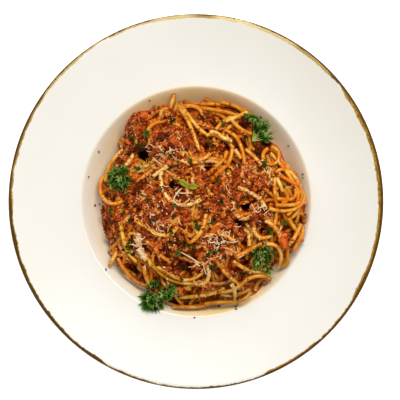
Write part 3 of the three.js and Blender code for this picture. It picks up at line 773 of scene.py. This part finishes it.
sauceLook = {
    # the darkest colour is painted shade for gaps and crevices, and the palest a painted glint
    "gap": "#300c02", "dark": "#661302", "brown": "#a63f08", "red": "#dc6a1a", "light": "#f8ba80",
    # patches of mince: centre x, y, half-width along x and y, how thick they lie
    "patches": [
        (-19, 46, 23, 14, 1.0), (-42, 58, 12, 10, 1.0), (-27, -5, 22, 17, 1.0), (21, 8, 18, 12, 0.85),
        (48, 12, 11, 9, 0.9), (5, 59, 9, 8, 0.9), (17, 42, 9, 9, 0.7), (-63, -15, 10, 15, 0.9),
        (-20, -32, 15, 10, 0.6), (-9, -48, 15, 6, 0.8), (13, -34, 14, 12, 0.55), (32, -51, 9, 7, 0.8),
        (8, -65, 20, 5, 0.6), (49, -11, 12, 9, 0.8), (66, -29, 7, 5, 0.7), (-48, 8, 10, 9, 0.7),
        (38, 24, 10, 9, 0.5), (28, -22, 12, 9, 0.6), (-54, 30, 7, 12, 0.6), (0, 20, 14, 10, 0.5),
        (-55, -45, 6, 10, 0.4), (14, -6, 12, 8, 0.6), (24, -13, 8, 7, 0.7), (-44, 47, 9, 11, 0.9),
    ],
    # where the noodles stay clean: centre x, y, half-width along x and y
    "clean": [
        (63, 3, 15, 15), (67, -18, 9, 11), (28, 66, 26, 7), (63, 31, 10, 12), (50, 46, 13, 8),
        (-10, -72, 30, 6), (32, -62, 22, 9), (-57, -38, 9, 13), (19, 47, 11, 8), (-1, 54, 6, 7),
        (-68, 16, 5, 12), (-20, 3, 6, 4),
    ],
    # smooth noises: size in mm, strength, seed
    "thinning": [(11, 0.35, 5)], "relief": [(5, 0.5, 11), (2.6, 0.5, 12)], "shade": [(14, 0.1, 21)],
    "mottling": [(12, 0.16, 31), (4.5, 0.17, 32)],
}
# Three sizes of mince: number, sizes in mm, how long, wide and high a lump is, rounds of
# subdivision, least distance from the outline, how deep it sinks in its own size, how far it may
# lie above the heap's form, how much strays past the patches, how strongly it keeps to them, and
# its darkest and palest tone
minceLook = {
    "mince_clumps": {"count": 235, "size": (1.3, 3.0), "stretch": (1.25, 0.95, 0.6), "rounds": 3,
                     "reach": 4.5, "sink": 0.85, "above": 3.0, "stray": 0.0, "power": 1.5,
                     "tones": (-0.42, 0.04)},
    "mince_coarse": {"count": 1700, "size": (0.6, 1.6), "stretch": (1.3, 0.9, 0.75), "rounds": 2,
                     "reach": 1.0, "sink": 0.9, "above": 4.5, "stray": 0.0, "power": 1.3,
                     "tones": (-0.42, 0.23)},
    "mince_fine": {"count": 4400, "size": (0.32, 0.85), "stretch": (1.3, 0.9, 0.8), "rounds": 1,
                   "reach": 1.5, "sink": 0.5, "above": 7.0, "stray": 0.03, "power": 1.0,
                   "tones": (-0.26, 0.48)},
}
# Diced tomato: centre x, y, size
tomatoLook = {
    "red": "#d86018", "dark": "#a2380a",
    "bits": [(-38, 62, 2.0), (-34.5, 60.5, 1.3), (63.5, -28.5, 2.5), (14, 6.5, 1.7), (-50, 44, 1.4),
             (5, 2.5, 1.3), (-44, -36, 1.4)],
}


def sauceMaterial(name):
    # mince fried brown and simmered in tomato: dark grainy meat, reddish oil between, wet gloss
    look = sauceLook
    shades = zip((0.02, 0.22, 0.45, 0.68, 0.98), ("gap", "dark", "brown", "red", "light"))
    return speckledMaterial(name, {
        "Roughness": 0.18, "IOR": 1.42, "Specular IOR Level": 0.55, "Specular Tint": "#ffcc92",
        "Subsurface Weight": 0.06, "Subsurface Scale": 0.0015, "Subsurface Radius": (1.0, 0.3, 0.12),
    }, {"Scale": 520.0, "Detail": 4.0, "Roughness": 0.65}, 1.1, [(at, look[shade]) for at, shade in shades],
        {"Strength": 0.8, "Distance": 0.001})


def sauceCover(x, y):
    # how thick the sauce lies, 0 to 1: the largest of the patches' bells, broken by noise
    cover = np.zeros_like(x)
    for px, py, rx, ry, amount in sauceLook["patches"]:
        away = ((x - px) / rx) ** 2 + ((y - py) / ry) ** 2
        cover = np.maximum(cover, amount * np.exp(-(away ** 2) * 0.7))
    cover = cover * (1 + mottle(x, y, sauceLook["thinning"])) * cleanShare(x, y)
    return cover * np.clip(1 - gapDepth(x, y) / 3, 0, 1)


def cleanShare(x, y):
    # from 1 in the open down to 0 on the clean noodles
    share = np.ones_like(x)
    for px, py, rx, ry in sauceLook["clean"]:
        share *= 1 - 0.95 * np.exp(-(((x - px) / rx) ** 2 + ((y - py) / ry) ** 2) ** 2)
    return share


def makeBlanket(material):
    # the sauce between the crumbs: a closed sheet just over the laid noodles where the sauce is
    # thick, and under them elsewhere
    thickness, sunk, rise, offPlate = 1.2, 1.7, 4.5, 1.4
    x, y, r = heapRings(260, np.linspace(0.02, 1, 78), margin=3)
    cover = np.clip(sauceCover(x, y), 0, 1)
    level = blurred(ground, 2.0)[cell(x), cell(y)] - gapDepth(x, y)
    z = level - sunk + (rise + mottle(x, y, sauceLook["relief"])) * cover
    z = np.maximum(z, plateTop(r) + offPlate)
    middle = np.array([x[0].mean(), y[0].mean(), z[0].mean()])
    # darker in the gaps, as painted shade
    tone, gapTone, middleTone = -0.16, -0.1, -0.22
    makeSlab("sauce_blanket", x, y, z, z - thickness, [middle, middle - [0, 0, thickness]],
             mottle(x, y, sauceLook["shade"]) + tone + gapTone * gapDepth(x, y), middleTone,
             material, "meat_sauce")


def scatter(rng, count, density, reach):
    # points inside the heap drawn by rejection against a density from 0 to 1
    half, tries = 86, 6000
    found = np.zeros((0, 2))
    while len(found) < count:
        trial = rng.uniform(-half, half, (tries, 2))
        x, y = trial.T
        wanted = (inset(x, y) > reach) & (rng.uniform(0, 1, tries) < density(x, y))
        found = np.concatenate([found, trial[wanted]])
    return found[:count]


def pile(places, sizes, sink, above):
    # laid in batches, each on top of what is there, as flattened balls that sink a little
    flatness, batches, smallest = 0.7, 10, 0.6
    z = np.zeros(len(places))
    for batch in np.array_split(np.arange(len(places)), min(batches, len(places))):
        x, y = places[batch].T
        radius = np.mean(sizes[batch]) * flatness
        rest = restHeight(x, y, max(radius, smallest)) - sink * sizes[batch]
        z[batch] = np.minimum(rest, heapTop(x, y) + above)
        deposit(x, y, z[batch], max(radius * 0.8, smallest))
    return z


def makeMince(name, rng, material, backs):
    # fewer grains lie where the map backs is high
    look = minceLook[name]
    count, (low, high) = look["count"], look["size"]

    def density(x, y):
        cover = np.clip(look["stray"] + sauceCover(x, y), 0, 1)
        return cover ** look["power"] * (1 - backs[cell(x), cell(y)])

    places = scatter(rng, count, density, look["reach"])
    sizes = low + (high - low) * rng.beta(1.6, 2.4, count)
    z = pile(places, sizes, look["sink"], look["above"])
    lumps, each = crumbs(rng, places, z, sizes, look["stretch"], shapes=14, rounds=look["rounds"],
                         rough=0.42)
    tone = mottle(*places.T, sauceLook["mottling"]) - 0.1 + rng.normal(0, 0.17, count)
    tone = np.repeat(np.clip(tone, *look["tones"]), each)
    makePiece(name, *lumps, material, "sauce", "meat_sauce", tone=tone)


def makeTomato(rng):
    # soft dice of skinned tomato: rounded, wet and glossy, deeper red inside
    material = speckledMaterial("dicedTomato", {
        "Roughness": 0.2, "IOR": 1.4, "Specular IOR Level": 0.35, "Specular Tint": "#ffd0a0",
        "Subsurface Weight": 0.2, "Subsurface Scale": 0.002, "Subsurface Radius": (1.0, 0.2, 0.08),
    }, {"Scale": 300.0, "Detail": 2.0}, 1.0, [(0.4, tomatoLook["dark"]), (0.6, tomatoLook["red"])])
    bits = np.array(tomatoLook["bits"])
    places, sizes = bits[:, :2], bits[:, 2]
    z = pile(places, sizes, sink=0.5, above=6.0)
    lumps, each = crumbs(rng, places, z, sizes, stretch=(1.55, 1.1, 0.5), shapes=6, rounds=3, rough=0.3)
    makePiece("tomato_bits", *lumps, material, "sauce", "meat_sauce", tone=np.repeat(0 * sizes, each))


makeCore(sauceMaterial("tomatoOilBetweenNoodles"))
rng = np.random.default_rng(11)
pasta = pastaMaterial()
hidden = hiddenNoodles(rng)
hiddenTone = rng.uniform(0.3, 1.0, len(hidden))
layered, layeredTone = namedNoodles(noodlesUnderSauce, sink=0.6, above=3.0)
depth = np.append(np.linspace(0.75, 0.2, len(hidden)), 0 * layeredTone)    # the lower in the pile, the darker, with more of the stain colour
makeStrands("pasta_under", [path[::2] for path in hidden + layered], np.append(hiddenTone, layeredTone),
            depth, pasta, sides=8)
print("noodles under the sauce made")

ragu = sauceMaterial("minceRagu")
makeBlanket(ragu)
backs = np.zeros_like(ground)
makeMince("mince_clumps", rng, ragu, backs)
makeMince("mince_coarse", rng, ragu, backs)
print("sauce and mince made")

onTop, topTone = namedNoodles(noodlesOnTop, sink=0.7, above=6.0)
makeStrands("pasta_on_top", onTop, topTone, np.clip(topTone - 0.9, 0, 1), pasta, sides=12)
# fewer fine crumbs stay on the round backs of the top noodles
spine = np.concatenate(onTop)
backs[cell(spine[:, 0]), cell(spine[:, 1])] = 1
makeMince("mince_fine", rng, ragu, np.clip(blurred(backs, 1.2) * 5, 0, 0.7))
makeTomato(rng)
print("top noodles, fine mince and tomato made")


# Each sprig is a few fans: base x, y, direction in degrees, length, number of leaflets, and how
# far the fan opens to each side in degrees
sprigs = {
    "left": [
        (-56, 18, 95, 9.5, 7, 32), (-57, 18, 135, 9.5, 7, 32), (-57, 17, 178, 10.5, 8, 32),
        (-57, 16, 215, 10, 7, 32), (-56, 16, 262, 10.5, 8, 32), (-55, 16, 310, 9.5, 7, 32),
        (-55, 17, 355, 9.5, 7, 32), (-55, 19, 45, 9, 7, 32), (-56, 17, 0, 5.5, 9, 180),
    ],
    "upper_right": [
        (41, 59, 150, 6.5, 5, 40), (41, 58, 95, 7.5, 6, 40), (44, 58, 120, 7, 6, 40),
        (42, 57, 40, 8.5, 6, 40), (43, 55, 0, 6.5, 5, 40), (47, 53, 45, 9, 6, 35), (44, 47, 60, 11, 6, 40),
        (44, 47, 10, 10, 5, 35), (41, 44, 78, 14.5, 3, 5), (41, 44, 64, 16, 3, 5), (41, 44, 50, 17, 3, 5),
        (41, 44, 36, 17.5, 3, 5), (41, 44, 22, 17.5, 3, 5), (41, 44, 7, 16, 3, 5), (53, 47, 0, 4, 5, 180),
    ],
    "lower_left": [
        (-31, -70, 173, 11.5, 8, 26), (-31, -71, 203, 12, 8, 26), (-31.5, -72, 230, 11.5, 8, 24),
        (-30, -72, 256, 11, 8, 26), (-27, -71.5, 285, 9.5, 7, 28), (-25, -69, 325, 7, 6, 30),
        (-24, -68, -15, 8, 7, 30), (-21.5, -66.5, 10, 10, 8, 26), (-22, -66, 35, 9.5, 7, 26),
        (-26, -67, 65, 6.5, 7, 35), (-30, -65, 95, 9, 8, 45), (-33, -69, 130, 5.5, 6, 35),
        (-30, -71, 0, 6.5, 16, 180), (-25, -68, 0, 6, 10, 180), (-34, -72, 0, 5, 8, 180),
    ],
    "lower_right": [
        (47, -40, 100, 8.5, 8, 34), (46, -40, 150, 7.5, 7, 34), (46, -42, 205, 7.5, 7, 34),
        (46, -43, 250, 8.5, 7, 34), (49, -45, 302, 11, 8, 26), (49, -42, 335, 9, 6, 30),
        (49, -40, 20, 7.5, 6, 34), (49, -39, 60, 8, 6, 34), (47.5, -41.5, 0, 5.5, 10, 180),
    ],
}


# Grated cheese

cheeseLook = {
    "colour": "#fadfb4", "soaked": "#f0bd86", "stained": "#cf8144",
    "shreds": 66, "width": 0.32, "crumbs": 560, "crust": 165,
    # tight little heaps of shreds: centre x, y, half-width along x and y, number
    "clumps": [(16, -31, 10, 10, 42), (-41, -32, 1.5, 6.5, 18), (52, 24, 7, 4, 10), (-30, -17, 8, 6, 14),
               (-22, 36, 10, 3, 16), (6, -46, 7, 3, 14), (44, -8, 5, 6, 14), (-14, -10, 8, 4, 6)],
    # long shreds: start x, y, heading, length, the turn of the first and of the second half; the
    # first three make the curl beside the pale leaf
    "long": [(-9.9, 9.5, -148, 12, 22, 40), (-16.5, 0.8, -75, 15, 90, 40), (-12.8, 6.1, -2, 10, 0, 0),
             (-11, -36.5, -33, 15, 3, -3), (-31, 32, -62, 9, 20, 0)],
    # where it was strewn most: centre x, y, radius, how thick
    "heaps": [(x, y, radius, 0.7) for x, y, radius in (
        (16, -32, 15), (18, -28, 13), (-22, 30, 16), (-41, -32, 8), (52, 22, 12), (30, -10, 14),
        (-10, 6, 12), (-28, -8, 18))],
}


def cheeseDensity(x, y):
    # thick on the heaps, and down to 0 where a sprig of parsley will lie
    bare = np.ones_like(x)
    for cx, cy in (fan[:2] for fans in sprigs.values() for fan in fans):
        bare = np.minimum(bare, 1 - np.exp(-((x - cx) ** 2 + (y - cy) ** 2) ** 2 / 10 ** 4))
    return (0.08 + bells(x, y, cheeseLook["heaps"])) * (0.15 + 0.85 * cleanShare(x, y)) * bare


def makeCheese(rng):
    # hard cheese off a fine grater: dry cream threads, some of them stained by sauce
    look = cheeseLook
    material = speckledMaterial("gratedHardCheese", {
        "Roughness": 0.5, "IOR": 1.44, "Specular IOR Level": 0.15,
        "Subsurface Weight": 0.2, "Subsurface Scale": 0.001,
    }, {"Scale": 240.0, "Detail": 2.0}, 1.0,
        [(0.3, look["stained"]), (0.55, look["soaked"]), (0.85, look["colour"])])
    paths = []

    def addShred(x, y, length):
        # a random walk in 1 mm steps, its heading drifting by a normal draw each step
        direction = rng.uniform(0, turn) + np.cumsum(rng.normal(0, 0.33, int(length)))
        px, py = x + np.cumsum(np.cos(direction)), y + np.cumsum(np.sin(direction))
        paths.append(layStrand(px, py, look["width"], stiffness=0.12, sink=0.1, above=9.0))

    for x, y in scatter(rng, look["shreds"], cheeseDensity, 3):
        addShred(x, y, 3 + min(rng.gamma(1.6, 1.8), 9))
    for x, y, rx, ry, number in look["clumps"]:
        for _ in range(number):
            addShred(x + rx * rng.normal(0, 0.6), y + ry * rng.normal(0, 0.6), rng.uniform(3, 9))
    widths = [look["width"]] * len(paths) + [look["width"] * 1.5] * len(look["long"])
    paths += [layStrand(*course(*spec), look["width"], stiffness=0.006, sink=-0.2, above=12.0)
              for spec in look["long"]]
    radii = [width * (0.55 + 0.45 * np.sin(np.linspace(0.25, math.pi - 0.25, len(path))))
             for path, width in zip(paths, widths)]
    tubes, strand, _ = sweep(paths, radii, sides=5)
    makePiece("cheese_shreds", *tubes, material, "cheese", tone=rng.uniform(0.05, 0.4, len(paths))[strand])
    # strewn crumbs, and a crust of them on the noodle that lies under the left-hand heap
    places = scatter(rng, look["crumbs"], lambda x, y: 0.04 + cheeseDensity(x, y), 2)
    crusted = onTop[list(noodlesOnTop).index("cheeseNoodle")][:, :2]
    crust = crusted[rng.integers(3, len(crusted) - 2, look["crust"])]
    crust = crust + rng.normal(0, 1.0, crust.shape)
    places = np.concatenate([places, crust])
    onCrust = np.arange(len(places)) >= look["crumbs"]
    sizes = 0.25 + 0.85 * rng.beta(1.1, 4.5, len(places)) + 0.2 * onCrust
    tone = rng.normal(0.05, 0.13, len(places)) + 0.12 * onCrust
    z = restHeight(*places.T, 0.6) - 0.35
    lumps, each = crumbs(rng, places, z, sizes, stretch=(1.6, 0.8, 0.6), shapes=8, rounds=1, rough=0.15)
    makePiece("cheese_crumbs", *lumps, material, "cheese", tone=np.repeat(tone, each))


makeCheese(rng)
print("cheese made")


# Parsley: chopped flakes, four curly sprigs, and the pale leaf

parsleyLook = {
    "shades": ("#0d2502", "#387010", "#aac862"), "paleShades": ("#687414", "#93941e", "#b9b040"),
    "flakes": 70, "flakeSize": (0.9, 2.3), "rise": 2.8, "blades": 4, "stalk": 0.4,
    # chopped bits that can be told apart: x, y
    "marked": [
        (-46, 55), (-37, 49), (-36, 46), (-38, 40), (-47, 47), (-40, 24), (-19, 31), (-19, 24), (-48, 6),
        (-4, 30), (-16, 55), (66, 12), (9, 44), (12, 41), (16, 15), (19, 0), (-48, -33), (-48, -28),
        (-13, -36), (-1, -35), (-17, -30), (-11, -30), (-6, -31), (0, -16), (1, -18), (-61, -6), (-45, -39),
        (-8, -48), (8, -39), (14, -37), (14, -47), (10, -47), (13, -14), (35, -15), (53, -22), (63, -16),
    ],
    # chopped bits that fell on the plate: x, y
    "specks": [
        (-28, 70), (-34, 74), (-79, 18), (-71.5, 36.5), (-75, -3), (-72, -2), (-70, -9), (-68, -23.5),
        (-65, -38), (-66, -50), (-57, -47), (17, -77), (8, -78), (29, -77), (30.5, -75), (29.5, -79),
        (68, 41), (78.5, 20), (78.5, 17.5), (79.5, -9.5), (48, 62), (-1, -85),
    ],
    # the pale leaf's foot, and its lobes: direction, length, half-width in degrees
    "palePlace": (-5.4, 10.4), "lobes": [(140, 7.4, 30), (4, 6.0, 34)],
}


def leafMaterial(name, shades):
    # a fresh herb leaf: matt to satin; by the tone it carries, light at its frilled edges as
    # painted highlight and darker towards the stalk as painted shade
    return speckledMaterial(name, {
        "Roughness": 0.45, "IOR": 1.42, "Specular IOR Level": 0.2, "Specular Tint": "#f4ffc0",
        "Subsurface Weight": 0.1, "Subsurface Scale": 0.0012, "Subsurface Radius": (0.6, 1.0, 0.2),
    }, {"Scale": 300.0, "Detail": 2.0}, 0.35, list(zip((0.2, 0.6, 1.1 / 1.2), shades)))


def makeFlakes(rng, material):
    # chopped bits: small three-lobed leaves with a frilled edge, cupped and tilted
    look = parsleyLook
    places = scatter(rng, look["flakes"], lambda x, y: 0.5 + 0 * x, 2)
    marked = np.array(look["marked"], float)
    marked = [marked + rng.normal(0, 1.0, marked.shape) for _ in range(2)]
    places = np.concatenate([places, *marked, look["specks"]])
    count, fallen = len(places), len(look["specks"])
    low, high = look["flakeSize"]
    sizes = low + (high - low) * rng.beta(1.3, 2.6, count)
    sizes[look["flakes"]:] *= 1.15
    sizes[-fallen:] = rng.uniform(0.5, 0.95, fallen)
    u, v = np.meshgrid(np.linspace(0, 1, 4), np.arange(9) * turn / 9, indexing="ij")
    z = restHeight(*places.T, 0.8) - 0.2
    z[-fallen:] = np.maximum(z[-fallen:] - 0.2, plateTop(np.hypot(*places[-fallen:].T)) + 0.35)
    flakes = []
    for centre, size, tilt in zip(np.column_stack([places, z]), sizes, randomTurns(rng, count, tilt=0.5)):
        lobes = 1 + 0.4 * np.cos(3 * v + rng.uniform(0, turn)) + 0.12 * np.cos(7 * v)
        cup = rng.uniform(-0.5, 0.5) * u ** 2 + 0.25 * u * np.sin(2 * v)
        sheet = np.stack([u * lobes * np.cos(v), 0.8 * u * lobes * np.sin(v), cup], -1) * size
        flakes.append(shell(np.append(sheet, sheet[:, :1], axis=1)[1:] @ tilt.T + centre, 0.25))
    tone = np.append(rng.uniform(-0.1, 0.32, count - fallen), rng.uniform(-0.1, 0.1, fallen))
    vertices, quads = joined(flakes)
    makePiece("parsley_flakes", vertices, [quads], None, material, "parsley",
              tone=np.repeat(tone, len(flakes[0][0])))


def leaflet(rng, size, spread, blades):
    # a wedge cut deep into pointed blades, each folded like a gutter, the outer ones shorter,
    # and the whole wedge arched along its length
    across, along = np.meshgrid(np.linspace(-1, 1, 4 * blades + 1), np.linspace(0.08, 1, 6), indexing="ij")
    blade = (across + 1) / 2 * blades
    cut = np.abs(blade % 1 - 0.5) * 2
    uneven = 1 - 0.25 * rng.uniform(0, 1, blades + 1)[np.minimum(blade, blades).astype(int)]
    reach = along * (uneven - 0.2 * across ** 2 - 0.74 * cut * along)
    gutter = 0.2 * (1 - cut) * (1 - 0.6 * along) + 0.1 * np.sin(3 * across + rng.uniform(0, turn))
    lift = along * gutter - along ** 2 * rng.uniform(-0.1, 0.2)
    angle = across * spread
    return size * np.stack([reach * np.cos(angle), reach * np.sin(angle), lift], -1), along, cut


def makeSprig(side, fans, rng, material):
    # each leaflet sits at the end of a thin pale stalk from the base of its fan. Wide fans are
    # curly, with leaflets at every height, and narrow ones show their stalks
    look = parsleyLook
    leaflets, tones, stalks, widths = [], [], [], []
    for cx, cy, heading, length, count, opening in fans:
        narrow = opening < 20
        base = restHeight(np.array([cx]), np.array([cy]), 1.5)[0] - 1.5 + look["rise"] * 0.4
        for number in range(count):
            aside = (number + 0.5) / count * 2 - 1
            azimuth = math.radians(heading + opening * aside + rng.uniform(-12, 12) * (0.3 if narrow else 1))
            outward = np.array([math.cos(azimuth), math.sin(azimuth), 0.0])
            inner = not narrow and number % 3 == 0
            size = length * (0.42 if narrow else rng.uniform(0.5, 0.68))
            away = length * (0.4 + 0.15 * number if narrow else 0.15 if inner else rng.uniform(0.32, 0.5))
            x, y = [cx, cy] + away * outward[:2]
            lift = math.radians(rng.uniform(10, 60) if inner else rng.uniform(-5, 30))
            roll = rng.uniform(-0.8, 0.8)
            forward = outward * math.cos(lift) + [0, 0, math.sin(lift)]
            flat = np.cross([0, 0, 1.0], outward)
            sideways = flat * math.cos(roll) + np.cross(forward, flat) * math.sin(roll)
            upward = np.cross(forward, sideways)
            sheet, along, cut = leaflet(rng, size, 0.5 if narrow else rng.uniform(0.4, 0.6), look["blades"])
            beyond = np.array([[0], [0.6 * size]]) * outward[:2] + [x, y]
            rest = restHeight(*beyond.T, 1.2).max() - 0.7
            z = max(base + look["rise"] * rng.uniform(0.1, 0.7) + (1.0 if inner else 0), rest)
            leaflets.append(shell(sheet @ np.stack([forward, sideways, upward]) + [x, y, z], 0.2))
            # painted highlight along the blades toward their tips, painted shade in the cuts and toward the
            # base
            tone = 0.1 + 0.8 * along ** 1.5 * (1 - cut) - 0.35 * cut + rng.uniform(-0.35, 0.15)
            tones.append(np.tile(tone.ravel(), 2))
            if not inner and not (narrow and number < count - 1):
                stalks.append(np.linspace([cx, cy, base], [x, y, z + 0.2], 6))
                widths.append(look["stalk"] * (0.7 if narrow else 1))
    points, (quads, tris), _ = sweep(stalks, widths, sides=5)[0]
    tris = tris + sum(len(leaf) for leaf, _ in leaflets)
    vertices, quads = joined(leaflets + [(points, quads)])
    makePiece("curly_parsley_" + side, vertices, [quads, tris], None, material, "parsley",
              "parsley_sprig_" + side, tone=np.concatenate(tones + [np.full(len(points), 0.8)]))


def makePaleLeaf():
    # two leaflets that meet at their foot: a small disc and a frilled bell for each lobe
    u, v = np.meshgrid(np.linspace(0.06, 1, 14), np.linspace(0, turn, 91), indexing="ij")
    reach = 0.8 + byAngle(parsleyLook["lobes"], v) * (1 + 0.11 * np.sin(21 * v))
    cx, cy = parsleyLook["palePlace"]
    x, y = cx + u * reach * np.cos(v), cy + u * reach * np.sin(v)
    z = blurred(ground, 2.5)[cell(x), cell(y)] + 2.4
    z += 0.9 * u ** 2 * (1 + np.sin(3 * v)) + 0.3 * u * np.sin(9 * v)
    points, faces = shell(np.stack([x, y, z], -1), 0.35)
    # the pale leaf grows lighter from its foot to its edge, a painted highlight
    makePiece("pale_leaf", points, [faces], None, leafMaterial("paleParsleyLeaf", parsleyLook["paleShades"]),
              "leaf", "small_leaf", tone=np.tile((0.2 + 0.4 * u).ravel(), 2))


parsley = leafMaterial("curlyParsleyLeaf", parsleyLook["shades"])
makeFlakes(rng, parsley)
for side, fans in sprigs.items():
    makeSprig(side, fans, rng, parsley)
makePaleLeaf()
print("parsley made")


# Floor, light and camera

studio = {
    "floor": "#fbfaf8", "glow": 0.5,    # a sweep lit from below too
    "room": 0.56, "window": 10.6, "windowColour": (1.0, 0.99, 0.975), "windowSize": (0.95, 0.36),
    "windowPlace": (0.2, 0.52, 0.99), "cameraPlace": (0.0029, 0.0011, 0.845), "lens": 100,
}


def makeStudio():
    look = studio
    bpy.ops.mesh.primitive_plane_add(size=6)
    floor = bpy.context.object
    floor.name = "floor"
    floor.data.materials.append(newMaterial("paleFloor", {
        "Roughness": 0.8, "Base Color": look["floor"],
        "Emission Color": "#ffffff", "Emission Strength": look["glow"],
    })[0])
    scene = bpy.context.scene
    scene.view_settings.view_transform = "Standard"
    scene.view_settings.look = "None"
    scene.world = bpy.data.worlds.new("softRoom")
    scene.world.use_nodes = True
    fill(scene.world.node_tree.nodes["Background"], {"Color": "#ffffff", "Strength": look["room"]})
    window = bpy.data.lights.new("window", "AREA")
    window.shape = "RECTANGLE"
    window.size, window.size_y = look["windowSize"]
    window.energy = look["window"]
    window.color = look["windowColour"]
    lamp = bpy.data.objects.new("window", window)
    lamp.location = look["windowPlace"]
    x, y, z = look["windowPlace"]
    lamp.rotation_euler = (math.acos(z / math.hypot(x, y, z)), 0, math.atan2(-y, -x) - math.pi / 2)
    camera = bpy.data.cameras.new("camera")
    camera.lens = look["lens"]
    camera.sensor_width = 36
    view = bpy.data.objects.new("camera", camera)
    view.location = look["cameraPlace"]
    for thing in (lamp, view):
        scene.collection.objects.link(thing)
    scene.camera = view


makeStudio()
